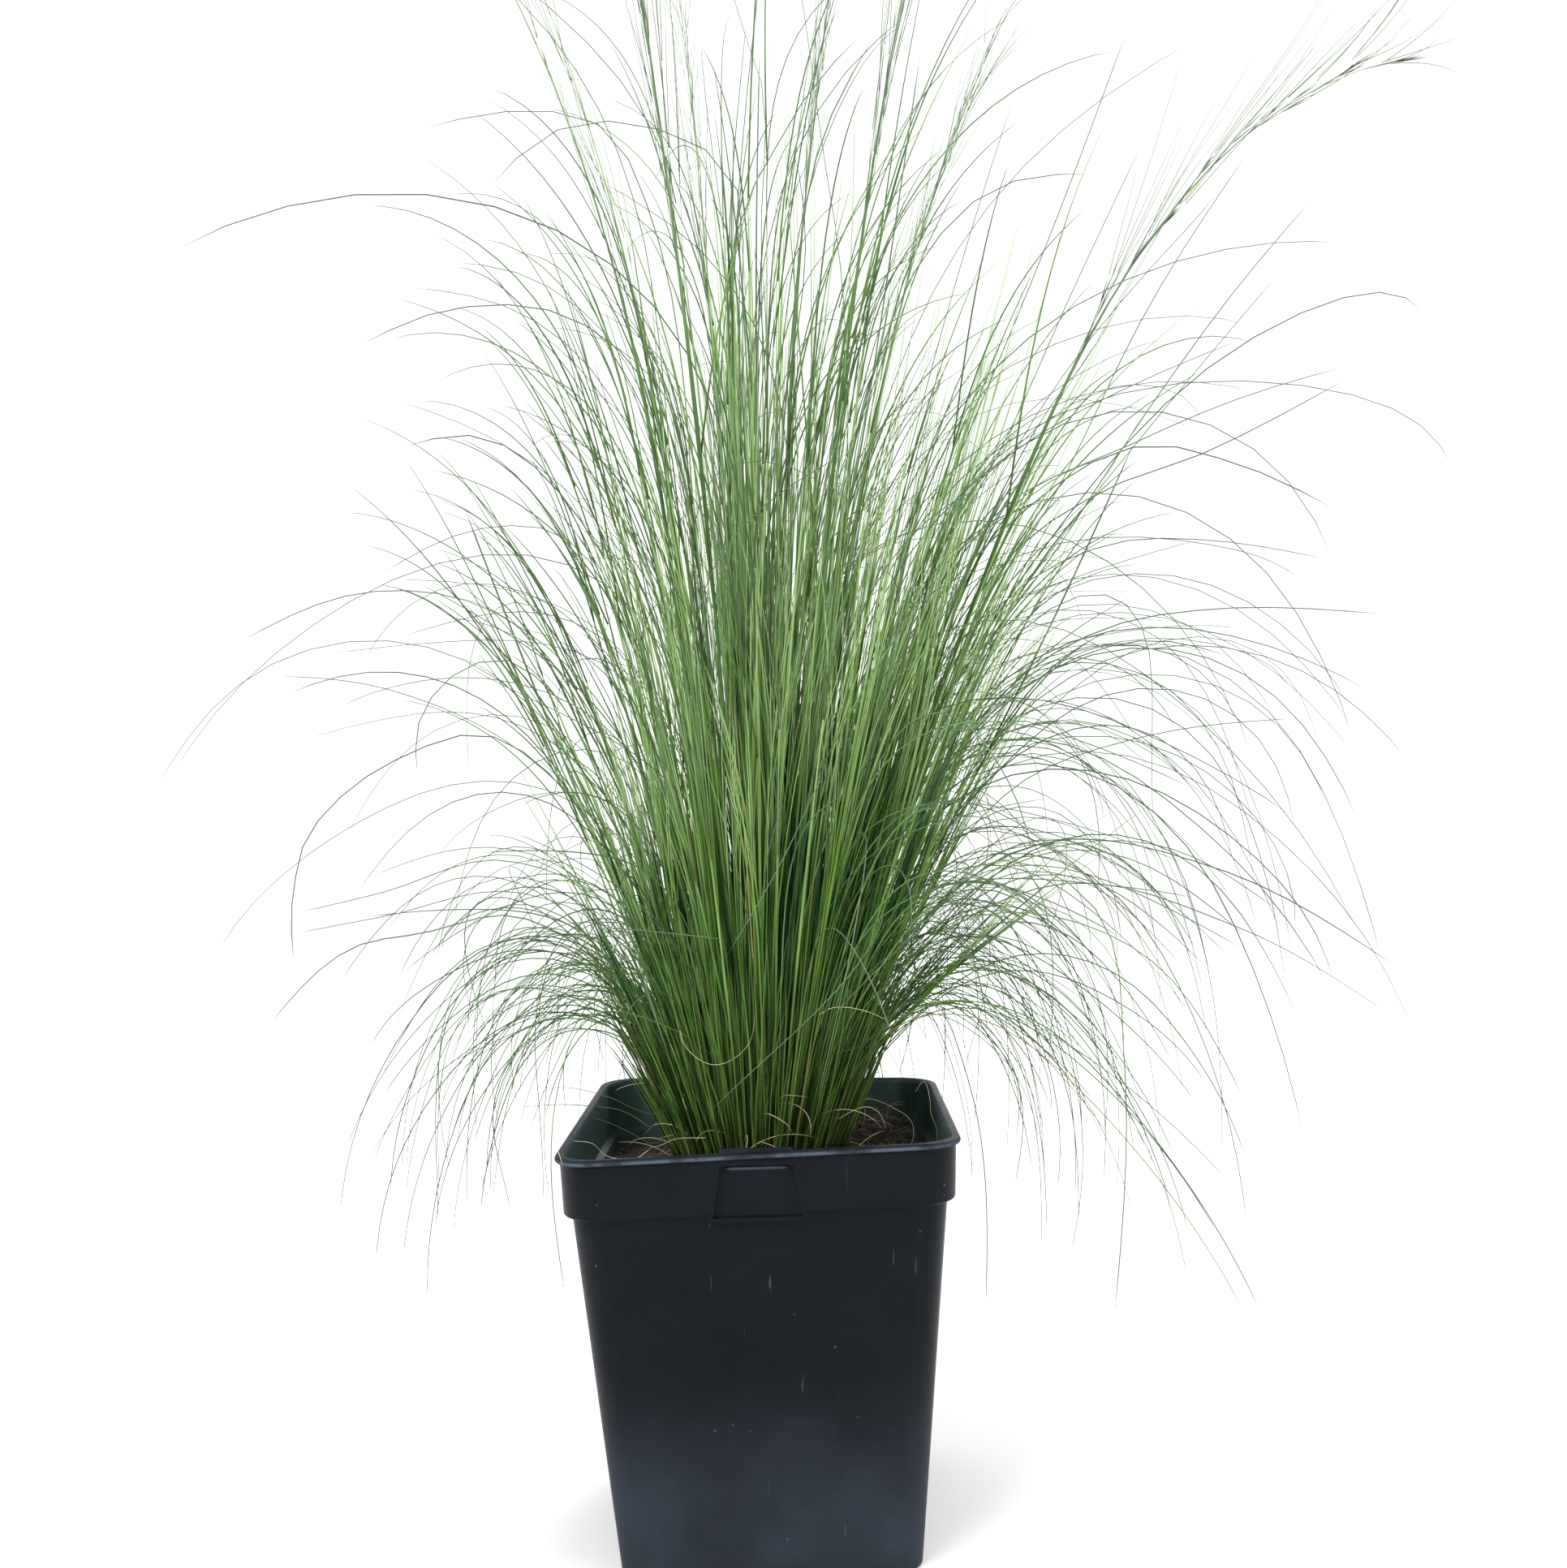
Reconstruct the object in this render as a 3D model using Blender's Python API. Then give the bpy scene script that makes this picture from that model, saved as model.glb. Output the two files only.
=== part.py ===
"""Potted feather grass: a fine-leaved grass clump with flower stems, in a square nursery pot.

Metres, +Z up. The origin is the middle of the pot's underside, on the surface it stands on.
-Y is the front, the side with the label recess that faces the viewer.
"""

import random
from math import cos, pi, radians, sin

import bmesh
import bpy
from mathutils import Matrix, Vector, noise

# Pot
RIM_WIDTH = 0.160
POT_HEIGHT = 0.172
LIP_THICKNESS = 0.003
LIP_OVERHANG = 0.0018
COLLAR_HEIGHT = 0.0215
COLLAR_TAPER = 0.0008
COLLAR_EDGE = 0.0012
BODY_TOP_WIDTH = 0.1487
FOOT_WIDTH = 0.1213
FOOT_EDGE = 0.0010
CORNER_RADIUS = 0.0130
CORNER_SEGMENTS = 4
WALL = 0.0016
FLOOR = 0.0020
RIM_TWIST = 0.0020

# Label recess in the front of the collar, its slot under the lip, and the tab above it
RECESS_TOP_WIDTH = 0.0285
RECESS_FOOT_WIDTH = 0.0350
RECESS_TOP_DROP = 0.0052
RECESS_STEP = 0.0004
SLOT_WIDTH = 0.0250
SLOT_HEIGHT = 0.0011
TAB_HEIGHT = 0.0012

# Drain arches in the middle of each foot edge, and drain holes near the corners
ARCH_WIDTH = 0.0260
ARCH_HEIGHT = 0.0040
ARCH_DEPTH = 0.0060
DRAIN_RADIUS = 0.0045
DRAIN_PLACE = 0.0400

# Soil and crown
TOUCH_GAP = 0.0003
SOIL_WALL_GAP = 0.0005
SOIL_EDGE_Z = 0.1440
SOIL_TOP_Z = 0.1500
SOIL_ROUGHNESS = 0.0012
CROWN_TOP_Z = 0.1960
CROWN_FOOT_RADIUS = 0.0350
CROWN_TOP_RADIUS = 0.0530
CROWN_RIBS = 20
CROWN_RIB_DEPTH = 0.0013

# Leaf tufts grow from rings of seats on the crown. Each ring: its number of seats, the first
# seat's heading and the step to the next in degrees, the seats' radius, the lean from upright at
# the seat and at the tip, how late the bend comes, the leaves' length, and the angle that a
# tuft's locks spread sideways. A heading of 0 is to the viewer's right, and 90 is away from the
# viewer. Round a ring, upright long tufts and shorter drooping ones take turns, and those on the
# viewer's right are longer than those on the left. The skirt's drooping tufts leave the front free.
HEART = {
    "count": 3, "first": 0, "step": 120, "radius": 0.0065, "lean": 2, "tip_lean": 32,
    "bend": 2.2, "length": 0.515, "spread": 20,
}
SPIRE = {
    "count": 7, "first": 26, "step": 51.4, "radius": 0.0170, "lean": 5, "tip_lean": 60,
    "bend": 2.2, "length": 0.485, "spread": 12,
}
FAN = {
    "count": 11, "first": 0, "step": 32.7, "radius": 0.0280, "lean": 11, "tip_lean": 98,
    "bend": 2.1, "length": 0.440, "spread": 8.5,
}
ARCH = {
    "count": 12, "first": 15, "step": 30, "radius": 0.0385, "lean": 18, "tip_lean": 144,
    "bend": 2.0, "length": 0.365, "spread": 8.5,
}
SKIRT = {
    "count": 8, "first": -24, "step": 32, "radius": 0.0480, "lean": 36, "tip_lean": 170,
    "bend": 0.8, "length": 0.250, "spread": 9.5,
}
TUFT_RINGS = [HEART, SPIRE, FAN, ARCH, SKIRT]
TUFT_RADIUS = 0.0042
FORK_RADIUS = 0.0056
FORK_SHARE = 0.15
LOCK_LIFT = 9
TIP_SHARE = 0.14
LENGTH_VARIATION = 0.04
LEAN_VARIATION = 5
ALTERNATE_LENGTH = 0.05
ALTERNATE_LEAN = 9
LONGER_HEADING = 5
LONGER = 0.10
PATH_STEPS = 60
SEED = 11

# Flower stems: heading, seat radius, lean at the seat, lean at the tip, how late the bend comes,
# length.
FLOWER_STEMS = [
    (344, 0.0225, 22, 90, 5.0, 0.482),
    (51, 0.0200, 12, 36, 1.8, 0.545),
    (103, 0.0200, 5, 26, 1.8, 0.540),
    (154, 0.0200, 2, 22, 1.8, 0.500),
    (206, 0.0200, 3, 34, 2.6, 0.500),
    (258, 0.0200, 8, 34, 1.8, 0.500),
    (309, 0.0200, 8, 26, 1.8, 0.525),
    (53, 0.0115, 3, 18, 1.8, 0.545),
]
STEM_RADIUS = 0.0011
PANICLE_RADIUS = 0.0032
PANICLE_START = 0.66


def clear_scene():
    """Start from an empty scene."""
    for item in list(bpy.data.objects):
        bpy.data.objects.remove(item, do_unlink=True)


def make_material(name, colour, roughness, metallic=0.0):
    """A Principled material of one colour."""
    material = bpy.data.materials.new(name)
    material.use_nodes = True
    shader = material.node_tree.nodes["Principled BSDF"]
    shader.inputs["Base Color"].default_value = (*colour, 1.0)
    shader.inputs["Roughness"].default_value = roughness
    shader.inputs["Metallic"].default_value = metallic
    return material


def make_object(name, bm, material, smooth=True):
    """Turn a bmesh into a named object, with the end it grew from closed and its faces outward."""
    open_edges = [edge for edge in bm.edges if edge.is_boundary]
    bmesh.ops.holes_fill(bm, edges=open_edges)
    bmesh.ops.recalc_face_normals(bm, faces=bm.faces)
    mesh = bpy.data.meshes.new(name)
    bm.to_mesh(mesh)
    bm.free()
    mesh.materials.append(material)
    if smooth:
        mesh.shade_smooth()
        mesh.set_sharp_from_angle(angle=radians(40))
    item = bpy.data.objects.new(name, mesh)
    bpy.context.scene.collection.objects.link(item)
    return item


def extrude_level(bm, face, width_ratio, rise):
    """Extrude a level face up by `rise`, with its width scaled about the Z axis."""
    result = bmesh.ops.extrude_discrete_faces(bm, faces=[face])
    top = result["faces"][0]
    bmesh.ops.scale(bm, vec=(width_ratio, width_ratio, 1.0), verts=top.verts)
    bmesh.ops.translate(bm, vec=(0.0, 0.0, rise), verts=top.verts)
    return top


def rounded_square(bm, width, corner_radius, height, side_cuts=0):
    """A level square face with rounded corners, and its sides divided for lumps."""
    bmesh.ops.create_grid(bm, x_segments=1, y_segments=1, size=width / 2)
    bmesh.ops.bevel(
        bm, geom=bm.verts[:], offset=corner_radius, offset_type="OFFSET", affect="VERTICES",
        segments=CORNER_SEGMENTS, profile=0.5, material=-1,
    )
    if side_cuts:
        long_edges = [edge for edge in bm.edges if edge.calc_length() > width / 2]
        bmesh.ops.subdivide_edges(bm, edges=long_edges, cuts=side_cuts)
    bmesh.ops.translate(bm, vec=(0.0, 0.0, height), verts=bm.verts)
    return bm.faces[:][0]


def loft_levels(bm, face, levels):
    """Carry a level face through (height, width) levels, each extruded from the last."""
    height, width = levels[0]
    for next_height, next_width in levels[1:]:
        face = extrude_level(bm, face, next_width / width, next_height - height)
        height, width = next_height, next_width
    return face


def body_width_at(height):
    """The pot body's outside width at a height below the collar."""
    collar_foot = POT_HEIGHT - LIP_THICKNESS - COLLAR_HEIGHT
    return FOOT_WIDTH + (BODY_TOP_WIDTH - FOOT_WIDTH) * height / collar_foot


def pot_levels():
    """The pot's wall: up the outside, over the lip, and down the inside to the floor."""
    collar_top = POT_HEIGHT - LIP_THICKNESS
    collar_foot = collar_top - COLLAR_HEIGHT
    collar_width = RIM_WIDTH - 2 * LIP_OVERHANG
    outside = [
        (0.0, FOOT_WIDTH - 2 * FOOT_EDGE),
        (FOOT_EDGE, FOOT_WIDTH),
        (collar_foot, BODY_TOP_WIDTH),
        (collar_foot, collar_width - 2 * COLLAR_TAPER - 2 * COLLAR_EDGE),
        (collar_foot + COLLAR_EDGE, collar_width - 2 * COLLAR_TAPER),
        (collar_top, collar_width),
        (collar_top + 0.0005, RIM_WIDTH - 0.0006),
        (collar_top + 0.0012, RIM_WIDTH),
        (POT_HEIGHT - 0.0008, RIM_WIDTH),
        (POT_HEIGHT, RIM_WIDTH - 0.0012),
    ]
    inside = [
        (POT_HEIGHT, collar_width - 2 * WALL + 0.0008),
        (POT_HEIGHT - 0.0010, collar_width - 2 * WALL),
        (collar_foot + WALL, collar_width - 2 * COLLAR_TAPER - 2 * WALL),
        (collar_foot + WALL * 0.4, BODY_TOP_WIDTH - 2 * WALL),
        (FLOOR, body_width_at(FLOOR) - 2 * WALL),
    ]
    return outside + inside


def make_cutter(name, bm):
    """A hidden guide that a Boolean reads."""
    bmesh.ops.recalc_face_normals(bm, faces=bm.faces)
    mesh = bpy.data.meshes.new(name)
    bm.to_mesh(mesh)
    bm.free()
    item = bpy.data.objects.new(name, mesh)
    item.hide_render = True
    item.display_type = "WIRE"
    bpy.context.scene.collection.objects.link(item)
    return item


def box_cutter(name, low, high):
    """A box between two corners."""
    bm = bmesh.new()
    bmesh.ops.create_cube(bm, size=1.0)
    size = Vector(high) - Vector(low)
    bmesh.ops.scale(bm, vec=size, verts=bm.verts)
    bmesh.ops.translate(bm, vec=(Vector(low) + Vector(high)) / 2, verts=bm.verts)
    return make_cutter(name, bm)


def recess_cutter(name, near_y, far_y, grow=0.0):
    """The label recess's outline, wider at its foot, between two depths."""
    top_z = POT_HEIGHT - RECESS_TOP_DROP + grow
    foot_z = POT_HEIGHT - LIP_THICKNESS - COLLAR_HEIGHT - 0.0010 - grow
    bm = bmesh.new()
    bmesh.ops.create_cube(bm, size=1.0)
    for vert in bm.verts:
        is_top = vert.co.z > 0
        width = (RECESS_TOP_WIDTH if is_top else RECESS_FOOT_WIDTH) + 2 * grow
        vert.co.x *= width
        vert.co.y = near_y if vert.co.y < 0 else far_y
        vert.co.z = top_z if is_top else foot_z
    return make_cutter(name, bm)


def arch_cutter(name):
    """One bar whose two ends cut the drain arches of two opposite foot edges."""
    bm = bmesh.new()
    bmesh.ops.create_circle(bm, cap_ends=True, segments=16, radius=ARCH_WIDTH / 2)
    bmesh.ops.rotate(bm, matrix=Matrix.Rotation(pi / 2, 3, "X"), verts=bm.verts)
    bmesh.ops.scale(bm, vec=(1.0, 1.0, ARCH_HEIGHT / (ARCH_WIDTH / 2)), verts=bm.verts)
    face = bm.faces[:][0]
    length = FOOT_WIDTH / 2 + 0.004 - (FOOT_WIDTH / 2 - ARCH_DEPTH)
    result = bmesh.ops.extrude_face_region(bm, geom=[face])
    moved = [item for item in result["geom"] if isinstance(item, bmesh.types.BMVert)]
    bmesh.ops.translate(bm, vec=(0.0, -length, 0.0), verts=moved)
    bmesh.ops.translate(bm, vec=(0.0, ARCH_DEPTH - FOOT_WIDTH / 2, -0.0006), verts=bm.verts)
    return make_cutter(name, bm)


def drain_cutter(name, place):
    """A round drain hole through the floor."""
    bm = bmesh.new()
    bmesh.ops.create_cone(
        bm, cap_ends=True, segments=12, radius1=DRAIN_RADIUS, radius2=DRAIN_RADIUS, depth=3 * FLOOR,
    )
    bmesh.ops.translate(bm, vec=(place[0], place[1], FLOOR / 2), verts=bm.verts)
    return make_cutter(name, bm)


def add_boolean(item, operation, guide):
    """Add or cut a guide's shape."""
    modifier = item.modifiers.new(guide.name, "BOOLEAN")
    modifier.operation = operation
    modifier.solver = "EXACT"
    modifier.object = guide


def build_pot(material):
    """The square nursery pot: tapered body, deep collar, thin lip, recess, arches and drains."""
    bm = bmesh.new()
    levels = pot_levels()
    face = rounded_square(bm, levels[0][1], CORNER_RADIUS - FOOT_EDGE, levels[0][0])
    loft_levels(bm, face, levels)
    # The soft rim has twisted: the near left and far right corners sag, the other two lift.
    twist = RIM_TWIST / (RIM_WIDTH / 2) ** 2
    for vert in bm.verts:
        vert.co.z -= twist * vert.co.x * vert.co.y * (vert.co.z / POT_HEIGHT)
    pot = make_object("pot", bm, material)

    body_face = BODY_TOP_WIDTH / 2
    collar_inner = RIM_WIDTH / 2 - LIP_OVERHANG - WALL
    recess_face = -body_face - RECESS_STEP
    backing = recess_cutter(
        "recess_backing", -collar_inner - WALL / 2, recess_face + 1.4 * WALL, WALL)
    add_boolean(pot, "UNION", backing)
    tab = box_cutter(
        "lip_tab",
        (-RECESS_TOP_WIDTH / 2, -collar_inner - 0.75 * WALL, POT_HEIGHT - LIP_THICKNESS / 2),
        (RECESS_TOP_WIDTH / 2, 0.25 * WALL - collar_inner, POT_HEIGHT + TAB_HEIGHT),
    )
    add_boolean(pot, "UNION", tab)
    recess = recess_cutter("recess", -RIM_WIDTH / 2 - 0.004, recess_face)
    add_boolean(pot, "DIFFERENCE", recess)
    slot_top = POT_HEIGHT - RECESS_TOP_DROP - 0.0004
    slot = box_cutter(
        "label_slot",
        (-SLOT_WIDTH / 2, -RIM_WIDTH / 2, slot_top - SLOT_HEIGHT),
        (SLOT_WIDTH / 2, -body_face + 3 * WALL, slot_top),
    )
    add_boolean(pot, "DIFFERENCE", slot)
    for side in range(4):
        arch = arch_cutter(f"arch_{side + 1}")
        arch.rotation_euler.z = side * pi / 2
        add_boolean(pot, "DIFFERENCE", arch)
    for side_x in (-1, 1):
        for side_y in (-1, 1):
            name = f"drain_{side_x + 2}{side_y + 2}"
            drain = drain_cutter(name, (side_x * DRAIN_PLACE, side_y * DRAIN_PLACE))
            add_boolean(pot, "DIFFERENCE", drain)
    return pot


def build_soil(material):
    """Potting soil that fills the pot and rises a little to the crown."""
    foot_z = FLOOR + TOUCH_GAP
    margin = 2 * (WALL + SOIL_WALL_GAP)
    foot_width = body_width_at(foot_z) - margin
    edge_width = body_width_at(SOIL_EDGE_Z) - margin
    seat_width = 2 * CROWN_FOOT_RADIUS + 0.006
    rise = SOIL_TOP_Z - SOIL_EDGE_Z
    bm = bmesh.new()
    face = rounded_square(bm, foot_width, CORNER_RADIUS - WALL, foot_z, side_cuts=4)
    loft_levels(bm, face, [
        (foot_z, foot_width),
        (SOIL_EDGE_Z, edge_width),
        (SOIL_EDGE_Z + 0.35 * rise, edge_width - 0.016),
        (SOIL_EDGE_Z + 0.75 * rise, edge_width - 0.034),
        (SOIL_TOP_Z, seat_width),
    ])
    for vert in bm.verts:
        is_open_soil = SOIL_EDGE_Z - 0.001 < vert.co.z < SOIL_TOP_Z - 0.0005
        if is_open_soil:
            vert.co.z += SOIL_ROUGHNESS * noise.noise(vert.co * 90.0)
    return make_object("soil", bm, material)


def build_crown(material):
    """The crown: tightly packed leaf bases, standing on the soil and flaring upwards."""
    foot_z = SOIL_TOP_Z + TOUCH_GAP
    bm = bmesh.new()
    bmesh.ops.create_circle(bm, cap_ends=True, segments=2 * CROWN_RIBS, radius=CROWN_FOOT_RADIUS)
    for number, vert in enumerate(bm.verts):
        if number % 2:
            vert.co *= 1.0 - CROWN_RIB_DEPTH / CROWN_FOOT_RADIUS
    bmesh.ops.translate(bm, vec=(0.0, 0.0, foot_z), verts=bm.verts)
    height = CROWN_TOP_Z - foot_z
    flare = CROWN_TOP_RADIUS - CROWN_FOOT_RADIUS
    shares = (0.0, 0.33, 0.67, 1.0)
    levels = [(foot_z + height * s, CROWN_FOOT_RADIUS + flare * s ** 1.4) for s in shares]
    loft_levels(bm, bm.faces[:][0], levels)
    return make_object("crown", bm, material)


def level_direction(heading):
    """The level unit vector at a heading in degrees."""
    return Vector((cos(radians(heading)), sin(radians(heading)), 0.0))


def crown_seat(radius, heading):
    """A place on top of the crown."""
    seat = level_direction(heading) * radius
    seat.z = CROWN_TOP_Z + TOUCH_GAP
    return seat


def strand_path(start, heading, lean, tip_lean, bend, length):
    """Points and directions of a strand that rises from `start` and bends over under its weight."""
    points = [start]
    directions = []
    for step in range(PATH_STEPS):
        share = (step + 0.5) / PATH_STEPS
        angle = radians(lean + (tip_lean - lean) * share ** bend)
        direction = level_direction(heading) * sin(angle)
        direction.z = cos(angle)
        directions.append(direction)
        points.append(points[-1] + direction * (length / PATH_STEPS))
    directions.append(directions[-1])
    return points, directions


def cross_frame(point, direction, heading, width):
    """A frame at a point: X level across the strand, Y on its upper side, Z along it."""
    side = level_direction(heading + 90)
    upper = direction.cross(side)
    frame = Matrix((side * width, upper * width, direction)).transposed().to_4x4()
    frame.translation = point
    return frame


def grow_face(bm, face, old_frame, new_frame):
    """Extrude a face and carry it from one frame to the next."""
    grown = bmesh.ops.extrude_discrete_faces(bm, faces=[face])["faces"][0]
    bmesh.ops.transform(bm, matrix=new_frame @ old_frame.inverted(), verts=grown.verts)
    return grown


def split_in_locks(bm, face):
    """Split a six-sided end into three four-sided ones around its middle."""
    corners = list(face.verts)
    middle = bmesh.ops.poke(bm, faces=[face])["verts"][0]
    spokes = [bm.edges.get((middle, corner)) for corner in corners[0::2]]
    bmesh.ops.dissolve_edges(bm, edges=spokes)
    return list(middle.link_faces)


def build_tuft(name, ring, heading, length, tip_lean, material):
    """One tuft: a round bundle of leaves that parts into three locks, each bending over."""
    seat = crown_seat(ring["radius"], heading)
    points, directions = strand_path(seat, heading, ring["lean"], tip_lean, ring["bend"], length)
    bm = bmesh.new()
    bmesh.ops.create_circle(bm, cap_ends=True, segments=6, radius=1.0)
    frame = cross_frame(seat, Vector((0.0, 0.0, 1.0)), heading, TUFT_RADIUS)
    bmesh.ops.transform(bm, matrix=frame, verts=bm.verts)
    face = bm.faces[:][0]
    for part in (0.5, 1.0):
        at = round(part * FORK_SHARE * PATH_STEPS)
        width = TUFT_RADIUS + (FORK_RADIUS - TUFT_RADIUS) * part
        new_frame = cross_frame(points[at], directions[at], heading, width)
        face = grow_face(bm, face, frame, new_frame)
        frame = new_frame
    for lock_face in split_in_locks(bm, face):
        grow_lock(bm, lock_face, frame, ring, heading, length, tip_lean)
    return make_object(name, bm, material)


def grow_lock(bm, face, fork_frame, ring, heading, length, tip_lean):
    """Grow one lock from the fork: it spreads to the side, or up and over, that its face is on."""
    start = face.calc_center_median()
    side = (fork_frame.inverted() @ start).to_2d().normalized()
    lock_heading = heading + ring["spread"] * side.x
    lock_lean = tip_lean - LOCK_LIFT * side.y
    lock_length = length * (1.0 + 0.05 * side.y)
    seat = crown_seat(ring["radius"], heading)
    points, directions = strand_path(
        seat, lock_heading, ring["lean"], lock_lean, ring["bend"], lock_length)
    fork_at = round(FORK_SHARE * PATH_STEPS)
    shift = start - points[fork_at]
    frame = fork_frame.copy()
    frame.translation = start
    lock_rings = 5 if ring["tip_lean"] < 60 else 6
    for number in range(1, lock_rings + 1):
        part = number / lock_rings
        at = round((FORK_SHARE + (1.0 - FORK_SHARE) * part) * PATH_STEPS)
        width = FORK_RADIUS * (1.0 - (1.0 - TIP_SHARE) * part ** 1.3)
        new_frame = cross_frame(points[at] + shift, directions[at], lock_heading, width)
        face = grow_face(bm, face, frame, new_frame)
        frame = new_frame


def build_tufts(material):
    """All the leaf tufts, ring by ring from the middle outwards."""
    rng = random.Random(SEED)
    number = 0
    for ring in TUFT_RINGS:
        for seat in range(ring["count"]):
            number += 1
            heading = ring["first"] + ring["step"] * seat
            upright = 1 if seat % 2 else -1
            change = upright * ALTERNATE_LENGTH + rng.uniform(-LENGTH_VARIATION, LENGTH_VARIATION)
            change += LONGER * cos(radians(heading - LONGER_HEADING))
            length = ring["length"] * (1.0 + change)
            tip_lean = ring["tip_lean"] - upright * ALTERNATE_LEAN
            tip_lean += rng.uniform(-LEAN_VARIATION, LEAN_VARIATION)
            build_tuft(f"leaf_tuft_{number:02d}", ring, heading, length, tip_lean, material)


def build_flower_stem(name, stem, material):
    """A thin stalk that swells into a narrow flower head and ends in a fine tip."""
    heading, radius, lean, tip_lean, bend, length = stem
    seat = crown_seat(radius, heading)
    points, directions = strand_path(seat, heading, lean, tip_lean, bend, length)
    outline = [
        (0.25, STEM_RADIUS), (0.48, STEM_RADIUS), (PANICLE_START, STEM_RADIUS),
        (0.76, PANICLE_RADIUS), (0.88, 0.75 * PANICLE_RADIUS), (1.0, 0.4 * STEM_RADIUS),
    ]
    bm = bmesh.new()
    bmesh.ops.create_circle(bm, cap_ends=True, segments=5, radius=1.0)
    frame = cross_frame(seat, Vector((0.0, 0.0, 1.0)), heading, STEM_RADIUS)
    bmesh.ops.transform(bm, matrix=frame, verts=bm.verts)
    face = bm.faces[:][0]
    for share, width in outline:
        at = round(share * PATH_STEPS)
        new_frame = cross_frame(points[at], directions[at], heading, width)
        face = grow_face(bm, face, frame, new_frame)
        frame = new_frame
    return make_object(name, bm, material)


def build_flower_stems(material):
    """The flower stems, each from its own line of FLOWER_STEMS."""
    for number, stem in enumerate(FLOWER_STEMS, start=1):
        build_flower_stem(f"flower_stem_{number:02d}", stem, material)


def main():
    """Build every piece of the potted grass."""
    clear_scene()
    plastic = make_material("black_plastic", (0.018, 0.022, 0.028), 0.42)
    earth = make_material("potting_soil", (0.060, 0.042, 0.028), 0.95)
    base_green = make_material("leaf_base_green", (0.16, 0.24, 0.07), 0.60)
    leaf_green = make_material("leaf_green", (0.14, 0.26, 0.09), 0.55)
    stem_green = make_material("flower_stem_green", (0.28, 0.40, 0.18), 0.55)
    build_pot(plastic)
    build_soil(earth)
    build_crown(base_green)
    build_tufts(leaf_green)
    build_flower_stems(stem_green)


main()
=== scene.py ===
# %% [markdown]
# # A potted feather grass
#
# The real thing is a young clump of feather grass in a square nursery pot of black plastic. Its
# leaves are rolled so tightly that they look like green wires, half a millimetre to a millimetre
# thick. Those in the middle stand up, those outside arch over under their own weight, and a few
# sheathed stems carry narrow flower heads with hair-fine awns.
#
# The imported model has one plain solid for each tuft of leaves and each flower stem. This script
# keeps their places, headings and lengths, and grows the fine leaves there.

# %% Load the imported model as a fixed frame
import random
from math import cos, pi, radians, sin

import bmesh
import bpy
import numpy as np
from mathutils import Matrix, Vector, noise


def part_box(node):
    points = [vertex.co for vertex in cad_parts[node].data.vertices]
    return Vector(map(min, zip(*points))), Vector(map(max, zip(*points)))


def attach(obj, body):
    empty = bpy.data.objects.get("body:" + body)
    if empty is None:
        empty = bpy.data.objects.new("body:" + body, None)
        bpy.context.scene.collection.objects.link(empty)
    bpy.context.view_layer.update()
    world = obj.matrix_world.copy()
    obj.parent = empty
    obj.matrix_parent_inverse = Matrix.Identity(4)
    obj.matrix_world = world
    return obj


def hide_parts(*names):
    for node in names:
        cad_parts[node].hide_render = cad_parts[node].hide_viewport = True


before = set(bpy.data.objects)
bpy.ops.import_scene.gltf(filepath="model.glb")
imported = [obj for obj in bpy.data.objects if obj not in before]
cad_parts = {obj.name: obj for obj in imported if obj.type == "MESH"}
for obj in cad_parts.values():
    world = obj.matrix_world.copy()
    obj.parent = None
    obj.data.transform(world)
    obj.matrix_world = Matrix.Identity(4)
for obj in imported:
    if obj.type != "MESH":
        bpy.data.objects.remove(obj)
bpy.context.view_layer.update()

# %% [markdown]
# ## The camera
#
# The photo was taken close to the plant and nearly level with the middle of the leaves. The lens
# and the place were worked out once from the four corners of the pot's rim. With them, any pixel of
# the photo can be turned into a ray, and a leaf that stands out in the photo can be grown where the
# photo shows it.

# %% Place the camera
PHOTO_WIDTH = 1931
PHOTO_HEIGHT = 1932
LENS_MM = 35.58
SENSOR_MM = 36.0
CAMERA_PLACE = Vector((0.0287, -0.6742, 0.3084))
CAMERA_YAW = radians(1.296)
CAMERA_PITCH = radians(0.432)
CAMERA_ROLL = radians(1.821)

camera_turn = (
    Matrix.Rotation(CAMERA_YAW, 3, "Z")
    @ Matrix.Rotation(CAMERA_PITCH, 3, "X")
    @ Matrix.Rotation(CAMERA_ROLL, 3, "Y")
)
look_along_y = Matrix.Rotation(pi / 2, 3, "X")
camera = bpy.data.objects.new("camera", bpy.data.cameras.new("camera"))
camera.data.lens = LENS_MM
camera.data.sensor_width = SENSOR_MM
camera.data.clip_start = 0.01
camera.matrix_world = Matrix.Translation(CAMERA_PLACE) @ (camera_turn @ look_along_y).to_4x4()
bpy.context.scene.collection.objects.link(camera)
bpy.context.scene.camera = camera


def photo_point(pixel, depth):
    """The point behind a pixel of the photo, in the upright plane y = depth."""
    focal = LENS_MM / SENSOR_MM * PHOTO_HEIGHT
    across = (pixel[0] - PHOTO_WIDTH / 2) / focal
    up = (PHOTO_HEIGHT / 2 - pixel[1]) / focal
    ray = camera_turn @ Vector((across, 1.0, up))
    return CAMERA_PLACE + ray * ((depth - CAMERA_PLACE.y) / ray.y)


print("the photo's middle looks at", photo_point((PHOTO_WIDTH / 2, PHOTO_HEIGHT / 2), 0.0))

# %% [markdown]
# ## Helpers for materials
#
# A material is a tree of nodes. Writing each link out takes three lines, so one helper places a
# node and fills its inputs, either with a value or with another node's output. Colours are given
# as a screen shows them, 0 to 255, and are turned into the linear values that Blender works with.

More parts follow.
